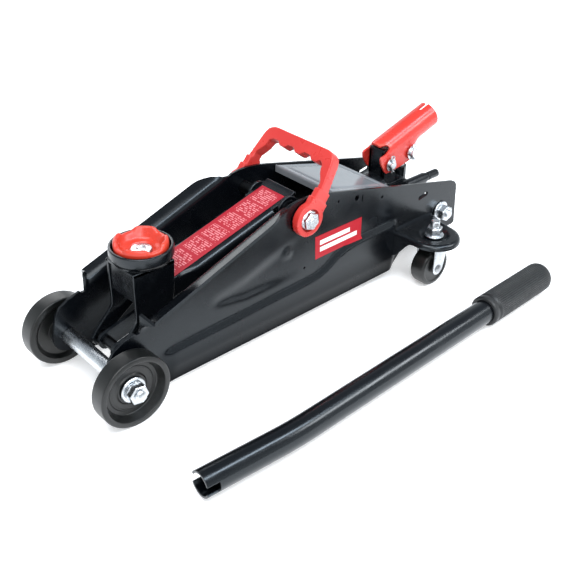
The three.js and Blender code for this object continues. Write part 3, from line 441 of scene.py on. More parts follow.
def blank(outline, holes=(), step=None):
    """Flat triangles that fill an outline, with a grid of inner points if a step is given."""
    loops = [list(outline), *[list(h) for h in holes]]
    if step:
        loops[0] = resample(loops[0], step)
    points, edges = [], []
    for loop in loops:
        base = len(points)
        points += loop
        edges += [(base + i, base + (i + 1) % len(loop)) for i in range(len(loop))]
    if step:
        (x0, z0), (x1, z1) = np.min(loops[0], axis=0), np.max(loops[0], axis=0)
        rows = int((z1 - z0) / (step * 0.866))
        grid = [(x0 + step * (k + 0.25 + 0.5 * (row % 2)), z0 + step * (0.5 + 0.866 * row))
                for row in range(rows + 1) for k in range(int((x1 - x0) / step) + 1)]
        points += clear_points(grid, loops, step * 0.45)
    verts, _, tris, *_ = delaunay_2d_cdt([Vector(p) for p in points], edges, [], 0, 1e-4)
    middles = [tuple(sum((verts[i] for i in tri), Vector((0, 0))) / len(tri)) for tri in tris]
    wanted = set(clear_points(middles, loops, 1e-5))
    kept = [tuple(tri) for tri, middle in zip(tris, middles) if middle in wanted]
    return [(v.x, v.y) for v in verts], kept


def pressed(name, flat, place, out=None):
    """A skin: the flat blank with each point put in place by a function."""
    verts, tris = flat
    bm = bmesh.new()
    made = [bm.verts.new(P(*place(*v))) for v in verts]
    for tri in tris:
        bm.faces.new([made[i] for i in tri])
    drop_loose(bm)
    bmesh.ops.dissolve_degenerate(bm, dist=0.01 * MM, edges=bm.edges)
    mesh = into_mesh(bm, name, agree=False)
    return faced(mesh, lambda face: face.normal.dot(Vector(out))) if out else mesh


def on_axis(axis, a, b, h):
    """A point at a height h along an axis, a and b across it."""
    return {"Y": (a, h, b), "X": (h, a, b), "Z": (a, b, h)}[axis]


def rect(x0, y0, x1, y1):
    return [(x0, y0), (x1, y0), (x1, y1), (x0, y1)]


def prism(outline, a0, a1, axis="Y", holes=(), place=None):
    """A plate: an outline given depth along Y (outline in x, z), X (y, z) or Z (x, y)."""
    verts, tris = blank(outline, holes)
    bm = bmesh.new()
    move = place or (lambda x, y, z: (x, y, z))
    rows = [[bm.verts.new(P(*move(*on_axis(axis, u, v, d)))) for u, v in verts] for d in (a0, a1)]
    for tri in tris:
        bm.faces.new([rows[0][i] for i in tri])
        bm.faces.new([rows[1][i] for i in reversed(tri)])
    count = {}
    for tri in tris:
        for i, j in zip(tri, tri[1:] + tri[:1]):
            count[frozenset((i, j))] = count.get(frozenset((i, j)), 0) + 1
    for pair, uses in count.items():
        if uses == 1:
            i, j = tuple(pair)
            bm.faces.new([rows[0][i], rows[0][j], rows[1][j], rows[1][i]])
    drop_loose(bm)
    bmesh.ops.dissolve_limit(bm, angle_limit=0.001, verts=bm.verts, edges=bm.edges)
    return into_mesh(bm, "prism")


def turned(profile, centre, axis="Y", segments=64, place=None, radius_at=None):
    """A turned piece: (radius, height) pairs spun about an axis through the centre."""
    cx, cy, cz = centre
    verts, faces = [], []
    count = len(profile)
    for s in range(segments):
        angle = 2 * math.pi * s / segments
        for r, h in profile:
            r = radius_at(angle, r, h) if radius_at else r
            x, y, z = on_axis(axis, r * math.cos(angle), r * math.sin(angle), h)
            point = (cx + x, cy + y, cz + z)
            verts.append(P(*(place(*point) if place else point)))
    closed = profile[0] != profile[-1] and profile[0][0] > 0 and profile[-1][0] > 0
    last = count if closed else count - 1
    for s in range(segments):
        n = (s + 1) % segments
        for k in range(last):
            j = (k + 1) % count
            faces.append((s * count + k, s * count + j, n * count + j, n * count + k))
    return mesh_of("turned", verts, [tuple(dict.fromkeys(f)) for f in faces])


def rod(x, y, z, r, h0, h1, axis="Y", segments=40, chamfer=0.5, place=None):
    """A solid round bar with chamfered ends."""
    c = min(chamfer, r * 0.4)
    profile = [(0, h0), (r - c, h0), (r, h0 + c), (r, h1 - c), (r - c, h1), (0, h1)]
    return turned(profile, (x, y, z), axis, segments, place)


def tube(x, y, z, r, bore, h0, h1, axis="Y", segments=48, place=None):
    return turned(rect(bore, h0, r, h1), (x, y, z), axis, segments, place)


def hexagon(x, y, z, across, h0, h1, axis="Y", turn=0.0):
    """A nut or bolt head, its corners chamfered at the outer end."""
    corner = across / math.sqrt(3)
    chamfer = 1.1 if h1 > h0 else -1.1
    rows = []
    for r, h in ((corner, h0), (corner, h1 - chamfer), (corner * 0.88, h1)):
        angles = [turn + k * math.pi / 3 for k in range(6)]
        off = [on_axis(axis, r * math.cos(a), r * math.sin(a), h) for a in angles]
        rows.append([(x + a, y + b, z + c) for a, b, c in off])
    return lofted("hexagon", rows, around=True, caps=True)


def smooth(low, high, value):
    t = max(0.0, min(1.0, (value - low) / (high - low)))
    return t * t * (3 - 2 * t)


def line_z(points, x):
    """The height of a polyline at x; its points run from larger x to smaller."""
    for (x1, z1), (x2, z2) in zip(points, points[1:]):
        if x2 <= x <= x1:
            return z1 + (z2 - z1) * (x1 - x) / (x1 - x2)
    return points[0][1] if x > points[0][0] else points[-1][1]


# ------------------------------------------------------------------ side plates
# The flared flange of a side plate: where its bend line starts and rises, and how it is bent.
BEND = {"x": -23.0, "z": 75.6, "slope": 0.357, "radius": 5.2, "angle": math.radians(77),
        "length": 16.4}
BEND_RUN = math.hypot(1, BEND["slope"])
FLANGE_END, FLANGE_TAPER = -200.0, -158.0
# The crease over the pressed foot panel, from front to rear, in x and z.
CREASE = [(-40, 41), (-57, 43), (-207, 47), (-232, 48.5), (-246, 53), (-258, 61), (-276, 67),
          (-300, 69), (-352, 69)]


def flange_length(x):
    """How much sheet stands past the bend line, tapering to nothing near the arm's pivot."""
    return BEND["length"] * (1 - smooth(FLANGE_TAPER, FLANGE_END, x))


def bend_z(x):
    """The height of the bend line."""
    return BEND["z"] + BEND["slope"] * (BEND["x"] - x)


def above_bend(x, z):
    """The distance of a point of the blank past the bend line, measured square to it."""
    return (z - bend_z(x)) / BEND_RUN


def plate_relief(x, z):
    """How far the pressed panels stand out from the plate at a point."""
    panel = 3.4 * smooth(2.8, -2.8, z - line_z(CREASE, x))
    panel *= smooth(-38, -56, x) * smooth(-356, -346, x)
    upper = line_z([(-95, 76), (-140, 84), (-200, 104), (-240, 112)], x)
    lower = line_z([(-95, 66), (-140, 58), (-200, 57), (-240, 62)], x)
    groove = 2.2 * smooth(-95, -112, x) * smooth(1, -13, z - upper) * smooth(-2, 9, z - lower)
    groove *= 1 - smooth(-150, -225, x)
    lance = 0.9 * smooth(6.2, 4.6, math.dist((x, z), (-193, 88.7)))
    tuck = 3.2 * max(0.0, (26 - z) / 18) * smooth(-42, -56, x)
    return panel - groove + lance - tuck


def place_plate(x, z):
    """A point of the flat blank on the finished plate, left-hand side."""
    past = above_bend(x, z)
    if x > BEND["x"] + 0.01 or past <= 0 or x < FLANGE_END:
        return x, PLATE_Y + plate_relief(x, z), z
    n = (BEND["slope"] / BEND_RUN, 1 / BEND_RUN)
    full = BEND["angle"] * (0.25 + 0.75 * smooth(FLANGE_END, FLANGE_END + 25, x))
    swept = min(past / BEND["radius"], full)
    rest = max(0.0, past - full * BEND["radius"])
    up = BEND["radius"] * math.sin(swept) + rest * math.cos(full)
    out = BEND["radius"] * (1 - math.cos(swept)) + rest * math.sin(full)
    x, z = x - n[0] * past, z - n[1] * past
    return x + n[0] * up, PLATE_Y + plate_relief(x, z) + out, z + n[1] * up


def plate_outline():
    """The blank of a side plate: foot, nose, flange edge, crown and rear end."""
    foot = [(-352, 8), (-44, 8), (-24, 11), (-16, 16)]
    nose = arc(0, WHEEL_R, 16, 236, 374, 16)
    brow = [(13.5, 50), (11, 60), (5, 67.5), (-4, 72.6), (-16.5, 76.6), (-18.5, 74.5), (-22, 74.6)]
    stations = [-22.9, -60, -100, *range(int(FLANGE_TAPER), int(FLANGE_END) + 5, -6)]
    edge = [(x, bend_z(x) + flange_length(x) * BEND_RUN) for x in stations]
    crown = [(-198, 139.3), (-206, 140.6), (-218, 140.8), (-232, 139.2), (-246, 136.2)]
    rear = rounded([(-415, 94.8, 0), (-453, 85.4, 19), (-454, 66, 0), (-457, 31, 4),
                    (-452, 29.4, 3), (-366, 33, 6), (-358, 20, 4)], 6)
    return foot + nose + brow + edge + crown + rear


def side_plate(side, word):
    """One pressed plate with its holes, its castor ear and its label."""
    holes = [
        ring(0, WHEEL_R, 7.8, 32), ring(*PIVOT, 6.6, 24), ring(*BOLT, 5.4, 20),
        ring(-287, 117.3, 3.0, 20), ring(-260.5, 122.1, 1.3, 10), ring(-325.3, 105.8, 1.6, 12),
        ring(-216, 63.4, 1.3, 10), [(-294.6, 118), (-296.2, 118.4), (-296.2, 110.8), (-294.6, 110.4)],
        rounded([(-386.5, 81.2, 2), (-386.5, 86.2, 2), (-401.5, 88.6, 2), (-401.5, 83.6, 2)], 4),
    ]

    def put(x, z):
        x, y, z = place_plate(x, z)
        return x, side * y, z

    mesh = pressed("side_plate", blank(plate_outline(), holes, 3.1), put, (0, side, 0))
    finish(mesh, f"pressed_plate_{word}", PLATE, "frame", [f"side_plate_{word}"],
           bevel=0.55, angle=55, solid=2.8, shade=60)
    castor_ear(side, word)
    side_label(side, word)


def ear_rim():
    """The ear's plan outline, from the plate round the castor and back, in short steps."""
    rim = [(-414, 46.2), (-412.5, 52), (-409, 60), (-406.2, 68)]
    rim += arc(CASTER_X, CASTER_Y, EAR_R, 172, 8, 24)
    rim += [(-347.4, 68), (-347, 60), (-346.4, 53), (-346, 46.2)]
    fine = []
    for a, b in zip(rim, rim[1:]):
        parts = max(1, round(math.dist(a, b) / 3))
        fine += [tuple(Vector(a).lerp(Vector(b), k / parts)) for k in range(parts)]
    return fine + [rim[-1]]


def castor_ear(side, word):
    """The dished pad over the castor: flat top, rolled rim, and a skirt down to the plate."""
    cx, cy, roll = CASTER_X, CASTER_Y, 4.6
    rim = ear_rim()
    columns, inner = [], []
    for i, (x, y) in enumerate(rim):
        a, b = rim[max(i - 1, 0)], rim[min(i + 1, len(rim) - 1)]
        along = Vector((b[0] - a[0], b[1] - a[1])).normalized()
        n = Vector((along.y, -along.x))
        if n.dot(Vector((x - cx, y - cy + 20))) < 0:
            n = -n
        column = []
        for k in range(7):
            angle = math.radians(90 * k / 6)
            at = Vector((x, y)) + n * roll * (math.sin(angle) - 1)
            column.append((at.x, side * at.y, EAR_TOP - roll * (1 - math.cos(angle))))
        deep = EAR_TOP - 6 - (23 * smooth(74, 48, y) if x > cx else 0)
        columns.append(column + [(x, side * y, deep)])
        inner.append((column[0][0], side * column[0][1]))

    def put(x, y):
        dish = 1.6 * smooth(16.2, 13.6, math.dist((x, y), (cx, cy)))
        return x, side * y, EAR_TOP - dish + 2.2 * smooth(50, 46, y)

    top = pressed("ear_top", blank(inner, [ring(cx, cy, 5.2, 20)], 2.4), put, (0, 0, 1))
    mesh = joined("ear", [lofted("skirt", columns), top])
    faced(mesh, lambda face: face.normal.z if abs(face.normal.z) > 0.9 else 0, weld=0.02)
    finish(mesh, f"castor_ear_{word}", BLACK, "frame", [], bevel=0.5, angle=60, solid=2.6, shade=60)


def side_label(side, word):
    """A thin generic label that follows the plate's relief."""
    low_rear, low_front, high_front, high_rear = (
        Vector(p) for p in ((-296.2, 68.3), (-230.6, 67.2), (-229.6, 93.2), (-295.8, 93.2)))
    columns, rows = 24, 8
    grid, uvs = [], []
    for j in range(rows + 1):
        for i in range(columns + 1):
            u, v = i / columns, j / rows
            x, z = low_rear.lerp(low_front, u).lerp(high_rear.lerp(high_front, u), v)
            grid.append(P(x, side * (place_plate(x, z)[1] + 0.18), z))
            uvs.append((1 - u if side > 0 else u, v))
    faces = []
    for a in (j * (columns + 1) + i for j in range(rows) for i in range(columns)):
        face = (a, a + 1, a + columns + 2, a + columns + 1)
        faces.append(face[::-side])
    flat_piece(f"side_label_{word}", grid, faces, uvs, LABEL, "frame")


def flat_piece(name, points, faces, uvs, look, body):
    """A one-sided film with a place on its print for every point."""
    mesh = bpy.data.meshes.new(name)
    mesh.from_pydata(points, [], faces)
    layer = mesh.uv_layers.new(name="UVMap")
    for loop in mesh.loops:
        layer.data[loop.index].uv = uvs[loop.vertex_index]
    finish(mesh, name, look, body, [], bevel=0)


# ------------------------------------------------------------------ frame hardware
def top_cover():
    """The sloping lid: a frame pressed round it and its front and rear edges turned down."""
    front, rear = Vector((-255.0, 133.3)), Vector((-345.0, 109.8))
    length = (rear - front).length
    along = (rear - front).normalized()
    half, turn = 42.2, 1.6
    flat = blank(rect(-9, -half, length + 5.5, half), step=2.2)

    def put(u, y):
        if 0 <= u <= length:
            inset = min(u - 7.5, length - 7.5 - u, half - 8 - abs(y))
            groove = 1.5 * math.exp(-(inset / 1.3) ** 2)
            panel = 0.2 * smooth(-0.5, 2.5, inset)
            at = front + along * (u + turn * (1 - 2 * u / length))
            return at.x, y, at.y - groove + panel - 0.8 * smooth(half - 2.5, half, abs(y))
        edge, sign, over = (front, -1, -u) if u < 0 else (rear, 1, u - length)
        swept = min(over / turn, math.pi / 2)
        hang = turn * (1 - math.cos(swept)) + max(0.0, over - turn * math.pi / 2)
        at = edge + along * sign * turn * (math.sin(swept) - 1)
        return at.x, y, at.y - hang

    finish(pressed("top_cover", flat, put, (0, 0, 1)), "pressed_top_cover", COVER, "frame",
           ["top_cover"], bevel=0.4, angle=60, solid=1.8, shade=60)


def nut_with_flange(x, z, side, y0, flange, across, height, stud, stud_end, turn=0.2):
    """A flanged nut with the end of its stud, on one side of the jack."""
    foot = on_side(side, (stud, y0), (flange, y0), (flange, y0 + 1.1), (across * 0.56, y0 + 2.6),
                   (stud, y0 + 2.6))
    parts = [turned(foot, (x, 0, z), "Y", 48),
             hexagon(x, 0, z, across, side * (y0 + 1.5), side * (y0 + height), "Y", turn)]
    if stud_end:
        parts.append(threaded(x, z, stud * 0.98, side * (y0 + height - 1), side * stud_end))
    return joined("nut", parts)


def threaded(x, z, r, y0, y1, pitch=1.25):
    """A short threaded stud, its thread cut as rings, with a chamfered end."""
    sign = 1 if y1 > y0 else -1
    profile = [(0, y0), (r, y0)]
    for k in range(max(1, int(abs(y1 - y0) / pitch))):
        y = y0 + sign * k * pitch
        profile += [(r - 0.45, y + sign * pitch * 0.5), (r, y + sign * pitch)]
    profile = [p for p in profile if abs(p[1] - y0) < abs(y1 - y0) - 0.4]
    return turned(profile + [(r - 0.7, y1), (0, y1)], (x, 0, z), "Y", 32)


def axle():
    parts = [rod(0, 0, WHEEL_R, 7.5, -61.9, 61.9, "Y", 56, 0.8)]
    parts += [threaded(0, WHEEL_R, 5, s * 61.5, s * 77) for s in (-1, 1)]
    finish(joined("axle", parts), "front_axle_rod", ZINC, "frame", ["front_axle"], bevel=0)
    for side, word in SIDES:
        washer = turned(on_side(side, (5.4, 62.2), (12.3, 62.2), (12.5, 63.4), (11.6, 64.4),
                                (5.4, 64.4)), (0, 0, WHEEL_R), "Y", 64)
        finish(washer, f"dished_washer_{word}", ZINC, "frame", [f"axle_washer_{word}"], bevel=0.25)
        nut = nut_with_flange(0, WHEEL_R, side, 64.7, 9.6, 17, 9, 5.3, None)
        finish(nut, f"flanged_axle_nut_{word}", ZINC, "frame", [f"axle_nut_{word}"], bevel=0.35)


def pivot():
    x, z = PIVOT
    finish(rod(x, 0, z, 6.2, -51, 51, "Y", 48), "arm_pivot_rod", DARK_STEEL, "frame",
           ["arm_pivot_shaft"], bevel=0)
    for side, word in SIDES:
        nut = nut_with_flange(x, z, side, 51.6, 10.4, 16, 6.8, 4.6, 59.6, 0.35)
        finish(nut, f"flanged_pivot_nut_{word}", ZINC, "frame", [f"pivot_nut_{word}"], bevel=0.35)


def rear_bolts():
    x, z = BOLT
    for side, word in SIDES:
        y0 = PLATE_Y + 0.4
        washer = turned(on_side(side, (5.2, y0), (11.5, y0), (11.5, y0 + 1.6), (9.6, y0 + 3),
                                (5.2, y0 + 3)), (x, 0, z), "Y", 56)
        parts = [washer, hexagon(x, 0, z, 16, side * (y0 + 2.4), side * (PLATE_Y + 11.9), "Y", 0.5),
                 rod(x, 0, z, 4.8, *span(side, PLATE_Y - 17, PLATE_Y + 10), "Y", 32),
                 threaded(x, z, 4.8, side * (PLATE_Y + 10), side * (PLATE_Y + 14.5))]
        finish(joined("bolt", parts), f"rear_flange_bolt_{word}", ZINC, "frame", [f"rear_bolt_{word}"],
               bevel=0.35)


# ------------------------------------------------------------------ hydraulic unit
def hydraulics():
    """Pump base, reservoir and ram, the link bars, the release valve and the pump's plunger."""
    dress("pump_base", BLACK, 1.2)
    tank = turned([(21.5, -359.6), (24, -359.6), (24, -330), (24, -272), (23.2, -268), (21.5, -268)],
                  (0, 0, RAM_Z), "X", 72)
    finish(tank, "reservoir_tube", BLACK, "frame", ["reservoir"], bevel=0.5)
    barrel = tube(0, 0, RAM_Z, 15, 9.3, -371.6, -262, "X", 64)
    finish(barrel, "cylinder_tube", STEEL, "frame", ["cylinder"], bevel=0.6)
    nut = turned([(15.3, -267.7), (23.6, -267.7), (24, -266.5), (24, -263.6), (23, -262.7),
                  (15.3, -262.7)], (0, 0, RAM_Z), "X", 72,
                 radius_at=lambda a, r, h: r - (0.9 if r > 20 and math.sin(6 * a) > 0.86 else 0))
    finish(nut, "reservoir_end_ring", STEEL, "frame", ["reservoir_nut"], bevel=0.2)
    plug = turned([(0, 95.7), (5, 95.7), (5, 101.8), (6.5, 101.9), (6.5, 103.1), (5.6, 103.7),
                   (1.6, 103.7), (1.2, 102.9), (0, 102.9)], (-310, 0, 0), "Z", 40)
    finish(plug, "oil_filler_plug", NYLON, "frame", ["filler_plug"], bevel=0.2)
    dress("ram", STEEL, 0.6)
    dress("radius_link_left", BLACK, 0.6)
    dress("radius_link_right", BLACK, 0.6)
    x, z = LINK_REAR
    finish(rod(x, 0, z, 5, -42.7, 42.7), "link_rear_cross_pin", DARK_STEEL, "frame",
           ["link_rear_pin"], bevel=0)
    valve = [
        rod(0, 0, VALVE_Z, 4.2, -462, BOSS_REAR + 20, "X", 40),
        turned([(0, -454), (5, -454), (5.5, -453.5), (5.5, -450.8), (5, -450.3), (0, -450.3)],
               (0, 0, VALVE_Z), "X", 48),
        turned([(0, -474), (4.2, -474), (5, -473.2), (5, -457.8), (4.3, -457), (0, -457)],
               (0, 0, VALVE_Z), "X", 48),
        rod(-467, 0, VALVE_Z, 1.9, -5.05, 5.05, "Y", 16),
    ]
    finish(joined("valve", valve), "release_valve_stem", BLACK, "release_valve", ["release_valve"],
           bevel=0.3)
    plunger = [rod(PLUNGER_X, 0, 0, 5, 76, 114, "Z", 40),
               turned([(0, 112.4), (7.4, 112.4), (8, 113), (8, 114.4), (7.2, 115), (0, 115)],
                      (PLUNGER_X, 0, 0), "Z", 48)]
    finish(joined("plunger", plunger), "pump_plunger_rod", STEEL, "pump_plunger", ["pump_plunger"],
           bevel=0)


def dress(name, look, bevel):
    """Gives a CAD node that already has the right shape its finish and softened edges."""
    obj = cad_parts[name]
    obj.data.materials.clear()
    obj.data.materials.append(look)
    soften(obj, bevel).harden_normals = True


def circle(middle, across, other, r, sides=8):
    """Points round a wire's middle, in the plane of two directions."""
    turns = [2 * math.pi * k / sides for k in range(sides)]
    return [middle + (across * math.cos(a) + other * math.sin(a)) * r for a in turns]


def coil_spring():
    """The plunger's spring, wound as a real coil with closer turns at its ends."""
    r, wire, z0, z1, turns, steps = 6.5, 0.55, 104.3, 110.2, 4, 120
    rows = []
    for i in range(steps + 1):
        t = i / steps
        angle = 2 * math.pi * turns * t
        out = Vector((math.cos(angle), math.sin(angle), 0))
        z = z0 + wire + (z1 - z0 - 2 * wire) * (smooth(0.0, 1.0, t) * 0.35 + t * 0.65)
        rows.append(circle(Vector((PLUNGER_X, 0, z)) + out * r, out, Vector((0, 0, 1)), wire))
    return lofted("coil", rows, around=True, caps=True)


# ------------------------------------------------------------------ lift arm
COS_ARM, SIN_ARM = math.cos(ARM_SLOPE), math.sin(ARM_SLOPE)


def from_arm(x, y, z):
    """A point in the arm's own axes, X along it from the pivot, on the lowered jack."""
    return PIVOT[0] + x * COS_ARM + z * SIN_ARM, y, PIVOT[1] - x * SIN_ARM + z * COS_ARM


def to_arm(x, z):
    dx, dz = x - PIVOT[0], z - PIVOT[1]
    return dx * COS_ARM - dz * SIN_ARM, dx * SIN_ARM + dz * COS_ARM


ARM_TOP, ARM_GAUGE = 10.0, 2.9


def arm_half(x):
    """The arm's half width along its length: full at the pivot, stepped in at the nose."""
    return 24.0 - 6.4 * smooth(110, 136, x)


def arm_roof():
    """The folded top of the arm and the upper part of its cheeks, in one skin."""
    stations = [16, 17, 20, 30, 45, 60, 75, 90, 102, *range(108, 140, 4), 145, 155, 163]
    rows = []
    for x in stations:
        half = arm_half(x) - 0.05
        corner = 8.4 - 3.4 * smooth(96, 124, x)
        skirt = -14.0 + 4.5 * smooth(96, 132, x)
        column = [(half, skirt), (half, (skirt + 4) / 2)]
        column += arc(half - corner, ARM_TOP - corner, corner, 0, 90, 8)
        column += [(half * 0.45, ARM_TOP), (0, ARM_TOP)]
        full = column + [(-y, z) for y, z in reversed(column[:-1])]
        rows.append([from_arm(x, y, z) for y, z in full])
    upward = Vector((SIN_ARM, 0, COS_ARM))
    return faced(lofted("roof", rows), lambda face: face.normal.dot(upward))


def lift_arm():
    """The arm: folded roof, two cheeks with the lever's ears, nose plates and its two pins."""
    finish(arm_roof(), "folded_lift_arm", BLACK, "lift_arm", ["lift_arm"], bevel=0.6, angle=60,
           solid=ARM_GAUGE, shade=60)
    px, pz = to_arm(*LEVER_PIN)
    cheek = [(44, 3.5), (14, 3.5)] + arc(0, 0, 13.4, 16, 190, 20) + [(px - 8.6, pz + 3)]
    cheek += arc(px, pz, 8.6, 170, 325, 12) + [(5, -24), (12, -17), (20, -14.6), (44, -13.6)]
    pin_x, pin_z = to_arm(*SADDLE_PIN)
    nose = [(118, ARM_TOP - 4), (118, -10), (pin_x - 6, pin_z - 10.5)]
    nose += arc(pin_x, pin_z, 11.4, 245, 405, 14) + [(pin_x + 2, ARM_TOP - 0.4), (130, ARM_TOP - 0.4)]
    parts = []
    for side in (-1, 1):
        holes = [ring(0, 0, 6.5, 28), ring(px, pz, 4.8, 20)]
        parts.append(prism(cheek, *span(side, 20.6, 23.85), "Y", holes, from_arm))
        holes = [ring(pin_x, pin_z, 6.3, 24)]
        parts.append(prism(nose, *span(side, 14.3, 17.45), "Y", holes, from_arm))
        parts.append(tube(0, 0, 0, 9.6, 6.6, *span(side, 19.0, 24.0), "Y", 40, from_arm))
    under = ARM_TOP - ARM_GAUGE
    bar = [(-15, ARM_TOP), (17, ARM_TOP), (17, under), (-15, under)]
    curl = [(-15, under)] + arc(-13.2, ARM_TOP - 1.2, 2.2, 200, 60, 8) + [(-9, ARM_TOP - 1)]
    parts += [prism(shape, -20.4, 20.4, "Y", (), from_arm) for shape in (bar, curl)]
    finish(joined("cheeks", parts), "lift_arm_cheeks", BLACK, "lift_arm", [], bevel=0.6, angle=40)
    pin = [rod(px, 0, pz, 4.5, -25, 25, "Y", 32, 0.5, from_arm)]
    pin += [rod(px, 0, pz, 6.5, *span(s, 24.4, 26.5), "Y", 32, 0.6, from_arm) for s in (-1, 1)]
    finish(joined("lever_pin", pin), "lever_cross_pin", DARK_STEEL, "lift_arm", ["lever_pin"], bevel=0)
    pin = rod(pin_x, 0, pin_z, 6, -19.2, 19.2, "Y", 40, 0.8, from_arm)
    finish(pin, "saddle_cross_pin", DARK_STEEL, "lift_arm", ["saddle_pin"], bevel=0)
    arm_label()


def arm_label():
    """The long label on the arm's top; its print runs along the arm."""
    half, rear, front = 16.4, -4.0, 146.0
    points = [P(*from_arm(x, y, ARM_TOP + 0.15)) for x, y in rect(rear, -half, front, half)]
    flat_piece("arm_label", points, [(0, 1, 2, 3)], ((0, 1), (0, 0), (1, 0), (1, 1)), PRINT, "lift_arm")


# ------------------------------------------------------------------ saddle
def carrier():
    """The saddle's bracket with its collar, weld beads and the pin of the radius links."""
    half, wall, front, rear, top = 21.6, 3.4, -35.0, -77.0, SEAT_Z - 0.3
    cheek = [(front, top), (rear - 2, top), (rear, 84), (-75, 75), (-70, 68.5), (-62, 63), (-38, 46)]
    cheek += arc(*LINK_PIN, 9.5, 205, 372, 18)
    cheek += [(-15, 46), (-24, 55), (-31, 62), (-34.4, 67), (front, 74)]
    parts = [prism(cheek, y0, y0 + wall, "Y", [ring(*LINK_PIN, 5.3, 24)]) for y0 in (-half, half - wall)]
    parts.append(prism(rect(rear - 2, -half, front, half), top - 4, top, "Z", [ring(SADDLE_X, 0, 8.3, 28)]))
    across = half - 1
    panel = rounded([(-across, 84, 2), (across, 84, 2), (across, top - 1, 1), (-across, top - 1, 1)])
    parts.append(prism(panel, front - 4.6, front - 1.6, "X"))
    finish(joined("carrier", parts), "saddle_bracket", BLACK, "saddle_carrier", ["saddle_carrier"],
           bevel=1.0, segments=3)
    r = 29.3
    collar = [(8.6, SEAT_Z), (r - 2.6, SEAT_Z), (r - 2.2, SEAT_Z + 2.2), (r - 0.9, SEAT_Z + 3.6),
              (r, SEAT_Z + 5.4), (r, RIM_Z - 1.4), (r - 0.5, RIM_Z - 0.4), (r - 1.4, RIM_Z),
              (r - 2.6, RIM_Z - 0.2), (r - 3, RIM_Z - 1), (r - 3, SEAT_Z + 4.5), (8.6, SEAT_Z + 4.5)]
    finish(turned(collar, (SADDLE_X, 0, 0), "Z", 96), "saddle_collar_ring", BLACK, "saddle_carrier",
           ["saddle_collar"], bevel=0.3, shade=40)
    weld_beads()
    x, z = LINK_PIN
    pin = [rod(x, 0, z, 5, -25, 25, "Y", 32)]
    pin += [tube(x, 0, z, 7.4, 5.05, s * 22.6, s * 23.6, "Y", 32) for s in (-1, 1)]
    finish(joined("link_pin", pin), "link_front_cross_pin", DARK_STEEL, "saddle_carrier",
           ["link_front_pin"], bevel=0)


def weld_beads():
    """Rippled weld beads between the collar and the bracket."""
    steps, sides, radius, edge_x, edge_y = 26, 8, 25.6, -34.6, 21.9
    parts = []
    for start, end in ((-62, -22), (24, 66), (150, 210)):
        rows = []
        for i in range(steps + 1):
            t = i / steps
            angle = math.radians(start + (end - start) * t)
            ripple = 0.8 + 0.2 * math.sin(t * 60)
            swell = max(1.5 * ripple * max(0.0, math.sin(math.pi * t)) ** 0.3, 0.05)
            row = []
            for k in range(sides):
                around = 2 * math.pi * k / sides
                r = radius + swell * math.cos(around)
                row.append((min(SADDLE_X + r * math.cos(angle), edge_x),
                            max(-edge_y, min(edge_y, r * math.sin(angle))),
                            SEAT_Z - 0.2 + swell * math.sin(around)))
            rows.append(row)
        parts.append(lofted("bead", rows, around=True))
    finish(joined("beads", parts), "collar_weld_beads", BLACK, "saddle_carrier", [], bevel=0)


def cup():
    """The cup: a dish whose rim rises in lobes with rounded gaps between them."""
    outer, lobes, segments = 24.8, 4, 160
    profile = [(0, -14), (8, -14), (8, -9.2), (outer - 3, -9.2), (outer - 0.8, -6.5), (outer, -2),
               (outer, 1.2), (outer - 0.3, 3.6), (outer - 1.0, 4.9), (outer - 2.2, 5.5),
               (outer - 3.4, 5.0), (outer - 4.4, 3.2), (outer - 5.6, 0.4), (outer - 7.2, -2.6),
               (outer - 8.8, -4.3), (13.6, -4.8), (12.4, -5.4), (11.4, -6.8), (0, -6.9)]
    rows = []
    for s in range(segments + 1):
        angle = 2 * math.pi * (s % segments) / segments
        lobe = smooth(0.08, 0.62, 0.5 - 0.5 * math.cos(lobes * angle))
        row = []
        for r, h in profile:
            if h > -1 and r > 12:
                h = (h + 1) * (0.42 + 0.58 * lobe) - 1
            row.append((SADDLE_X + r * math.cos(angle), r * math.sin(angle), RIM_Z + h))
        rows.append(row)
    finish(lofted("cup", rows), "lobed_saddle_cup", CUP_RED, "saddle", ["saddle_cup"], bevel=0, shade=50)
    head = turned([(0, RIM_Z - 6.8), (10, RIM_Z - 6.8), (10, RIM_Z - 5.4), (9.2, RIM_Z - 4.6),
                   (4.4, RIM_Z - 4.6), (3.6, RIM_Z - 5.6), (0, RIM_Z - 5.6)], (SADDLE_X, 0, 0), "Z", 56)
    finish(head, "saddle_screw_head", ZINC, "saddle", ["saddle_screw"], bevel=0.2)


# ------------------------------------------------------------------ handle socket
def from_socket(x, y, z):
    """A point in the socket's own axes, X along its tube towards the saddle."""
    c, s = math.cos(SOCKET_TILT), math.sin(SOCKET_TILT)
    return SOCKET_FOOT[0] + x * c + z * s, y, SOCKET_FOOT[1] - x * s + z * c


def to_socket(x, z):
    c, s = math.cos(SOCKET_TILT), math.sin(SOCKET_TILT)
    dx, dz = x - SOCKET_FOOT[0], z - SOCKET_FOOT[1]
    return dx * c - dz * s, dx * s + dz * c


SOCKET_R = 14.25  # the middle of the socket's wall


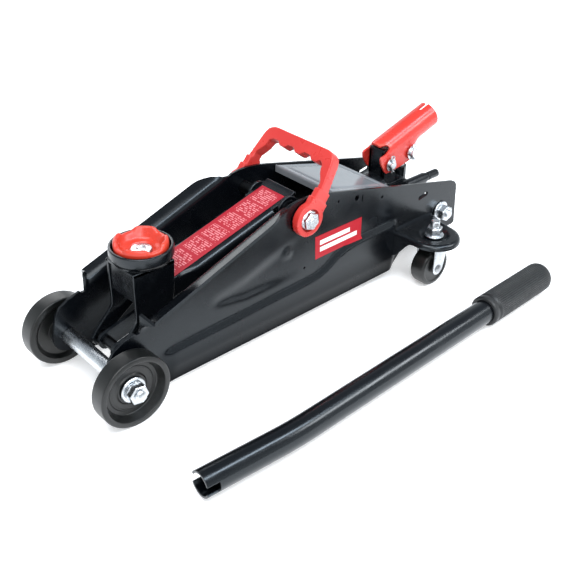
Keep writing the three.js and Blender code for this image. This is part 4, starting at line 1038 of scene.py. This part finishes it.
def socket_blank():
    """The socket's sheet laid flat: along the tube, and round it from its top line."""
    quarter = SOCKET_R * math.pi / 2
    seam = SOCKET_R * math.pi - 0.05
    half = [(8.4, 0, 0), (8.4, 7.0, 3), (0.0, 10.0, 2.5), (-1.5, 15.5, 2.5), (6, 18.2, 2),
            (16, 18.0, 2.5), (17.2, 25, 0), (13.6, 40.2, 5), (-9, 45.0, 0), (-23, 46.6, 6),
            (-37, 45.8, 4), (-45, seam, 3), (-77, seam, 0)]
    mouth = [(-77, 2.3, 0), (-64, 2.3, 1.8), (-64, -2.3, 1.8), (-77, -2.3, 0)]
    other = [(x, -s, r) for x, s, r in reversed(half)][:-1]
    holes = []
    for pin, r in ((SOCKET_PIN, 4.6), (ROLLER, 5.3)):
        x, z = to_socket(*pin)
        holes += [ring(x, sign * (quarter - z), r, 20) for sign in (-1, 1)]
    return rounded(half + mouth + other, 5), holes


def handle_socket():
    """The rolled socket: a tube at the mouth that opens into two flat ears."""
    quarter = SOCKET_R * math.pi / 2

    def put(x, s):
        side, s = (1 if s >= 0 else -1), abs(s)
        angle = s / SOCKET_R
        y, z = SOCKET_R * math.sin(angle), SOCKET_R * math.cos(angle)
        if s > quarter:
            flat = smooth(-50, -32, x)
            y += (SOCKET_R - y) * flat
            z += (quarter - s - z) * flat
        return from_socket(x, side * y, z)

    upward = Vector((math.sin(SOCKET_TILT), 0, math.cos(SOCKET_TILT)))

    def score(face):
        middle = face.calc_center_median()
        above = to_socket((middle.x - X0) / MM, middle.z / MM)[1] > 4
        return face.normal.dot(upward) if above else 0

    outline, holes = socket_blank()
    mesh = faced(pressed("socket", blank(outline, holes, 2.2), put), score)
    finish(mesh, "rolled_handle_socket", RED, "handle_socket", ["handle_socket"],
           bevel=0.55, angle=60, solid=2.4, shade=60)
    x, z = ROLLER
    parts = [rod(x, 0, z, 5, -20, 20.9, "Y", 36), rod(x, 0, z, 7.6, -20, -16.2, "Y", 40),
             tube(x, 0, z, 8, 5.05, 15.8, 17, "Y", 40), cotter(x, z, 18.7)]
    finish(joined("roller", parts), "roller_bolt_and_nut", ZINC, "handle_socket", ["roller_bolt"],
           bevel=0.3)


def yoke():
    """The upright the socket rocks on, its pin and the pin's split pin."""
    half, front, top = 10.5, -364.5, SOCKET_PIN[1] + 15.8
    side = rounded([(front, BASE_TOP + 0.3, 0), (front, top, 3), (-371, top, 2), (-382, 127, 3),
                    (-385, 112, 0), (-387, BASE_TOP + 0.3, 0)])
    parts = [prism(side, y0, y0 + 3, "Y", [ring(*SOCKET_PIN, 4.5, 20)]) for y0 in (-half, half - 3)]
    parts.append(prism(rect(-half, BASE_TOP + 0.3, half, top), front - 3, front, "X"))
    foot = rounded([(-391, -20, 3), (front, -20, 3), (front, 20, 3), (-391, 20, 3)])
    parts.append(prism(foot, BASE_TOP + 0.3, BASE_TOP + 4, "Z"))
    finish(joined("yoke", parts), "rocker_yoke", BLACK, "frame", ["socket_yoke"], bevel=0.7)
    x, z = SOCKET_PIN
    pin = [rod(x, 0, z, 4.2, -17.8, 20.4, "Y", 36), rod(x, 0, z, 6.4, -17.8, -15.9, "Y", 40),
           tube(x, 0, z, 7.2, 4.3, 15.9, 16.7, "Y", 40)]
    finish(joined("rocker", pin), "rocker_cross_pin", ZINC, "frame", ["rocker_pin"], bevel=0)
    finish(cotter(x, z, 18), "bent_split_pin", ZINC, "frame", ["split_pin"], bevel=0)


def cotter(x, z, y):
    """A split pin: an eye and two legs, one bent aside."""
    wire, eye_r, eye_z = 0.75, 2.5, z + 8.0
    path = [(x + 0.4, y, z - 8.5), (x + 0.4, y, z + 5.2)]
    for k in range(19):
        a = math.radians(12 + 336 * k / 18)
        path.append((x + eye_r * math.sin(a), y, eye_z - eye_r * math.cos(a)))
    path += [(x - 0.4, y, z + 5.2), (x - 0.4, y, z - 5.5), (x - 1.6, y, z - 7.4), (x - 3.2, y, z - 8.3)]
    across = Vector((0, 1, 0))
    rows = []
    for i, point in enumerate(path):
        ahead = Vector(path[min(i + 1, len(path) - 1)]) - Vector(path[max(i - 1, 0)])
        rows.append(circle(Vector(point), across, ahead.normalized().cross(across), wire))
    return lofted("cotter", rows, around=True, caps=True, weld=False)


# ------------------------------------------------------------------ carry handle
def from_bail(x, y, z):
    """A point in the carry handle's own axes, Z up along its legs."""
    c, s = math.cos(LEAN), math.sin(LEAN)
    return PIVOT[0] + x * c - z * s, y, PIVOT[1] + x * s + z * c


def bail_outline():
    """The bail seen along the jack: legs, corners and a bar with three finger bumps beneath."""
    height, half = 68.0, 47.6
    under = height - 13
    outside = rounded([(54.6, 6, 0), (53.6, 30, 8), (half - 0.6, height, 15), (0.6 - half, height, 15),
                       (-53.6, 30, 8), (-54.6, 6, 0)], 10)
    leg = [(46.8, 6), (46.9, 36), (half - 7.5, under - 9), (half - 9.5, under - 2),
           (half - 14, under + 0.6)]
    bumps = []
    y = 15 - half
    while y <= half - 15:
        bump = sum(smooth(7.5, 3.0, abs(y - middle)) for middle in (-19.0, 3.4, 26.6))
        bumps.append((y, under + 0.6 - 3.6 * min(1.0, bump)))
        y += 1.2
    return outside + [(-y, z) for y, z in leg] + bumps + leg[::-1]


def carry_handle():
    """The moulded bail: legs with stepped shoulders, round eyes and a shaped bar, cast as one."""
    parts = [prism(bail_outline(), -6.1, 6.1, "X", (), from_bail)]
    inner, outer, eye_r = 46.9, 54.7, 16.9
    for side in (-1, 1):
        lo, hi = span(side, inner, outer)
        parts.append(turned(rect(0, lo, eye_r, hi), (0, 0, 0), "Y", 72, from_bail))
        for wide, reach, low, high in ((11.2, outer, 6, 21), (8.8, outer - 0.8, 18, 30.5)):
            lo, hi = span(side, inner, reach)
            parts.append(prism(rect(-wide, lo, wide, hi), low, high, "Z", (), from_bail))
    obj = finish(joined("bail", parts), "moulded_carry_handle", PLASTIC, "carry_handle",
                 ["carry_handle"], bevel=0)
    bolt = ((0, 40), (6.7, 40), (6.7, 51.2), (11.6, 51.2), (11.6, 60), (0, 60))
    cut = [turned(on_side(side, *bolt), (0, 0, 0), "Y", 48, from_bail) for side in (-1, 1)]
    cutter = bpy.data.objects.new("eye_cutter", joined("cut", cut))
    bpy.context.scene.collection.objects.link(cutter)
    remesh = obj.modifiers.new("mould", "REMESH")
    remesh.mode = "VOXEL"
    remesh.voxel_size = 0.75 * MM
    remesh.use_smooth_shade = True
    relax = obj.modifiers.new("relax", "SMOOTH")
    relax.factor = 0.5
    relax.iterations = 7
    bore = obj.modifiers.new("bore", "BOOLEAN")
    bore.operation = "DIFFERENCE"
    bore.object = cutter
    bore.solver = "EXACT"
    apply_modifiers(obj)
    bpy.data.objects.remove(cutter)
    obj.data.set_sharp_from_angle(angle=math.radians(50))


def apply_modifiers(obj):
    """Makes the modifiers' result the object's own mesh."""
    graph = bpy.context.evaluated_depsgraph_get()
    mesh = bpy.data.meshes.new_from_object(obj.evaluated_get(graph))
    obj.modifiers.clear()
    obj.data = mesh


# ------------------------------------------------------------------ wheels and castors
def front_wheels():
    """Dished wheels: a hub, a web with two raised rings, and a plain tread."""
    inner, outer, r = 52.0, 69.0, WHEEL_R
    web = inner + 8
    profile = [
        (7.9, PLATE_Y + 0.6), (12.6, PLATE_Y + 0.6), (13.3, PLATE_Y + 1.6), (14.2, inner + 3.2),
        (25.3, inner + 3.6), (28.3, inner + 0.6), (28.8, inner), (r - 1.6, inner), (r - 0.5, inner + 0.4),
        (r, inner + 1.5), (r, outer - 1.5), (r - 0.5, outer - 0.4), (r - 1.6, outer),
        (30.6, outer), (29.8, outer - 0.3), (29.3, outer - 1.2), (26.6, web + 1), (25.8, web + 0.2),
        (22.4, web), (22.0, web + 0.5), (20.8, web + 0.5), (20.4, web), (16.2, web - 0.2),
        (15.0, web + 0.4), (14.6, web + 1), (14.0, web + 1.4), (7.9, web + 1.4),
    ]
    for side, word in SIDES:
        mesh = turned(on_side(side, *profile), (0, 0, WHEEL_R), "Y", 112)
        finish(mesh, f"moulded_front_wheel_{word}", NYLON, f"front_wheel_{word}", [f"front_wheel_{word}"],
               bevel=0.25, angle=30, shade=32)


def castors():
    """Both castors: fork, wheel, axle rivet, thrust ring and lock nut."""
    fork_top = EAR_TOP - 6.4
    wheel_x = CASTER_X - TRAIL
    front, rear, gauge = CASTER_X + 10, CASTER_X - 11, 2.4
    for side, word in SIDES:
        y = side * CASTER_Y
        body = f"caster_{word}"
        leg = [(front, fork_top), (rear, fork_top)] + arc(wheel_x, CASTER_R, 7.4, 192, 348, 14)
        holes = [ring(wheel_x, CASTER_R, 3.2, 18)]
        parts = [prism(leg, y0, y0 + gauge, "Y", holes)
                 for y0 in (y - FORK_HALF, y + FORK_HALF - gauge)]
        crown = rect(rear, y - FORK_HALF, front, y + FORK_HALF)
        parts.append(prism(crown, fork_top - gauge, fork_top, "Z"))
        parts.append(rod(CASTER_X, y, 0, 5, fork_top - 1, EAR_TOP + 17, "Z", 36, 1.0))
        finish(joined("fork", parts), f"castor_fork_{word}_pressed", ZINC, body,
               [f"caster_fork_{word}"], bevel=0.8, segments=3)
        castor_wheel(wheel_x, y, word)
        head = [(0, 0.3), (4.6, 0.3), (4.4, 1.1), (3.2, 1.7), (0, 1.9)]
        rivet = [rod(wheel_x, y, CASTER_R, 3, -FORK_HALF - 1.4, FORK_HALF + 1.4, "Y", 28)]
        rivet += [turned([(a, s * (FORK_HALF + b)) for a, b in head], (wheel_x, y, CASTER_R), "Y", 32)
                  for s in (-1, 1)]
        finish(joined("rivet", rivet), f"castor_axle_rivet_{word}", STEEL, body,
               [f"caster_rivet_{word}"], bevel=0)
        race = tube(CASTER_X, y, 0, 9.5, 5.3, fork_top + 0.3, EAR_TOP - 3.3, "Z")
        finish(race, f"castor_thrust_ring_{word}", STEEL, body, [f"caster_bearing_{word}"], bevel=0.3)
        z0 = EAR_TOP - 0.7
        flange = [(5.2, z0), (10.5, z0), (10.5, z0 + 1), (8.8, z0 + 2.2), (5.2, z0 + 2.2)]
        nut = [turned(flange, (CASTER_X, y, 0), "Z", 48),
               hexagon(CASTER_X, y, 0, 14.9, z0 + 1.6, z0 + 10.2, "Z", 0.4)]
        finish(joined("nut", nut), f"castor_lock_nut_{word}", ZINC, body, [f"caster_nut_{word}"],
               bevel=0.35)


def castor_wheel(x, y, word):
    half, r = 9.0, CASTER_R
    rim = [(3.4, half + 0.8), (5.6, half + 0.8), (6, half + 0.4), (6, half - 1), (r - 5.4, half - 1),
           (r - 4.2, half), (r - 2.6, half), (r - 0.9, half - 0.8), (r, half - 2.6)]
    wheel = turned(on_side(-1, *rim) + rim[::-1], (x, y, r), "Y", 88)
    finish(wheel, f"castor_roller_{word}", NYLON, f"caster_wheel_{word}", [f"caster_wheel_{word}"],
           bevel=0.2, angle=30, shade=36)


# ------------------------------------------------------------------ loose handle
HANDLE = {"front": (14.5, 174.0), "bend": (-80.0, 180.0), "rear": (-455.0, 170.0), "z": 16.0,
          "radius": 12.3, "grip": 16.0, "grip_length": 105.0}


def handle_centre(t):
    """A point and heading on the handle's centre line; t runs 0 to 1 from its open front end."""
    front, bend, rear = (Vector(HANDLE[k]) for k in ("front", "bend", "rear"))
    before, after = bend.lerp(front, 0.22), bend.lerp(rear, 0.055)
    spans = [(front - before).length, (before - after).length, (after - rear).length - 90]
    run = t * sum(spans)
    if run < spans[0]:
        return front.lerp(before, run / spans[0]), (before - front).normalized()
    run -= spans[0]
    if run < spans[1]:
        k = run / spans[1]
        point = before * (1 - k) ** 2 + bend * 2 * k * (1 - k) + after * k * k
        return point, ((bend - before) * (1 - k) + (after - bend) * k).normalized()
    run -= spans[1]
    way = (rear - after).normalized()
    return after + way * run, way


def loose_handle():
    """The bent handle tube with two slots across its open front end, and its grip."""
    r, z0 = HANDLE["radius"], HANDLE["z"]
    steps, sides, slot_steps, slot_half = 96, 56, 3, 4
    points = []
    for i in range(steps + 1):
        centre, way = handle_centre(i / steps)
        for k in range(sides):
            angle = 2 * math.pi * (k + 0.5) / sides
            across = r * math.cos(angle)
            points.append(P(centre.x + way.y * across, centre.y - way.x * across,
                            z0 + r * math.sin(angle)))
    faces = []
    for i in range(steps):
        for k in range(sides):
            off_slot = min(k + 1, abs(k + 1 - sides / 2), sides - k - 1)
            if i >= slot_steps or off_slot >= slot_half:
                n = (k + 1) % sides
                faces.append((i * sides + k, i * sides + n, (i + 1) * sides + n, (i + 1) * sides + k))

    def score(face):
        return face.normal.z if face.calc_center_median().z > (z0 + r * 0.8) * MM else 0

    finish(faced(mesh_of("handle", points, faces), score), "painted_handle_tube", BLACK, "pump_handle",
           ["handle_tube"], bevel=0.35, angle=60, solid=2.2, shade=60)
    grip()


def grip():
    """The rubber grip: a plain collar, long fine ribs and a rounded end."""
    rear, bend = Vector(HANDLE["rear"]), Vector(HANDLE["bend"])
    way = (rear - bend).normalized()
    length, r = HANDLE["grip_length"], HANDLE["grip"]
    start = rear - way * length
    first, last, ribs = 11.0, length - 7, 46
    profile = [(12.6, 0), (15.2, 0), (15.9, 0.8), (r, 2), (r, 5.5), (r - 0.9, 6.4), (r - 0.9, 8.6),
               (r, 9.6)]
    profile += [(r, first + (last - first) * k / 24) for k in range(25)]
    profile += [(r - 0.25, length - 4.6), (r - 1.2, length - 2.4), (r - 3.2, length - 0.8),
                (r - 6, length - 0.05), (0, length)]

    def cut(angle, radius, h):
        if radius <= r - 0.3 or not first <= h <= last:
            return radius
        depth = 0.62 * (0.5 + 0.5 * math.cos(ribs * angle)) ** 1.6
        return radius - depth * smooth(first, first + 3, h) * smooth(last, last - 3, h)

    def place(x, y, z):
        return start.x + way.x * x - way.y * y, start.y + way.y * x + way.x * y, z

    mesh = turned(profile, (0, 0, HANDLE["z"]), "X", ribs * 6, place, cut)
    finish(mesh, "ribbed_handle_grip", RUBBER, "pump_handle", ["handle_grip"], bevel=0, shade=60)


# ------------------------------------------------------------------ everything
for side, word in SIDES:
    side_plate(side, word)
top_cover()
axle()
pivot()
rear_bolts()
hydraulics()
finish(coil_spring(), "plunger_coil_spring", ZINC, "frame", ["plunger_spring"], bevel=0)
lift_arm()
carrier()
cup()
handle_socket()
yoke()
carry_handle()
front_wheels()
castors()
loose_handle()


# ------------------------------------------------------------------ stage, light and camera
def stage():
    """A wide pale floor just under the wheels, a little self-lit so that it stays pale."""
    size = 40.0
    mesh = bpy.data.meshes.new("floor")
    mesh.from_pydata([(x, y, 0) for x, y in rect(-size, -size, size, size)], [], [(0, 1, 2, 3)])
    floor = bpy.data.objects.new("floor", mesh)
    floor.location.z = -0.0002
    bpy.context.scene.collection.objects.link(floor)
    mat, tree, bsdf = shader("pale_floor", (0.93, 0.93, 0.93), 0.7, Emission_Color=(1, 1, 1, 1),
                             Emission_Strength=0.3)
    tree.links.new(mix(tree, noise(tree, 3, 2), (0.92, 0.92, 0.92), (0.94, 0.94, 0.94)),
                   bsdf.inputs["Base Color"])
    mesh.materials.append(mat)


def softbox(name, place, target, size, power, tint=(1, 1, 1)):
    """A rectangular lamp at a place, turned to a target."""
    light = bpy.data.lights.new(name, "AREA")
    light.shape = "RECTANGLE"
    light.size, light.size_y = size
    light.energy = power
    light.color = tint
    obj = bpy.data.objects.new(name, light)
    obj.location = place
    obj.rotation_euler = (Vector(target) - Vector(place)).to_track_quat("-Z", "Y").to_euler()
    bpy.context.scene.collection.objects.link(obj)


def lights():
    """A dome, bright low down and dim overhead, and five softboxes."""
    world = bpy.data.worlds.new("studio")
    world.use_nodes = True
    tree = world.node_tree
    where = node(tree, "ShaderNodeTexCoord").outputs["Generated"]
    height = node(tree, "ShaderNodeSeparateXYZ", {0: where}).outputs[2]
    dome = mix(tree, spread(tree, height, 0.25, 0.7, 0, 1), (0.9, 0.96, 1), (0.28, 0.31, 0.35))
    tree.links.new(dome, tree.nodes["Background"].inputs["Color"])
    bpy.context.scene.world = world
    softbox("overhead", (0.7, 0.2, 1.8), (0, 0, 0), (1.2, 1.0), 24)
    softbox("edge", (-1.05, 1.0, 1.15), (0, 0, 0.1), (0.7, 0.35), 10)
    softbox("key", (1.1, 1.6, 1.3), (0, 0, 0.05), (1.0, 0.8), 18)
    softbox("strip", (-0.25, 0.95, 1.75), (0.05, 0, 0.1), (1.7, 0.34), 26, (0.82, 0.91, 1.0))
    softbox("back", (-0.3, -1.75, 1.05), (0.05, 0, 0.1), (1.4, 0.5), 9)


def camera():
    """The photograph's viewpoint: from the front left, 33 degrees up, with a slight roll."""
    place, target = P(297.6, 577.7, 512.5), P(-189.4, 54.2, 52.5)
    roll = math.radians(1.04)
    ahead = (target - place).normalized()
    right = ahead.cross(Vector((0, 0, 1))).normalized()
    up = right.cross(ahead)
    turned_right = right * math.cos(roll) + up * math.sin(roll)
    turned_up = up * math.cos(roll) - right * math.sin(roll)
    data = bpy.data.cameras.new("camera")
    data.sensor_width, data.lens, data.clip_start = 36.0, 54.0, 0.01
    obj = bpy.data.objects.new("camera", data)
    rotation = Matrix((turned_right, turned_up, -ahead)).transposed()
    obj.matrix_world = Matrix.Translation(place) @ rotation.to_4x4()
    bpy.context.scene.collection.objects.link(obj)
    bpy.context.scene.camera = obj


stage()
lights()
camera()
bpy.context.scene.view_settings.view_transform = "Standard"
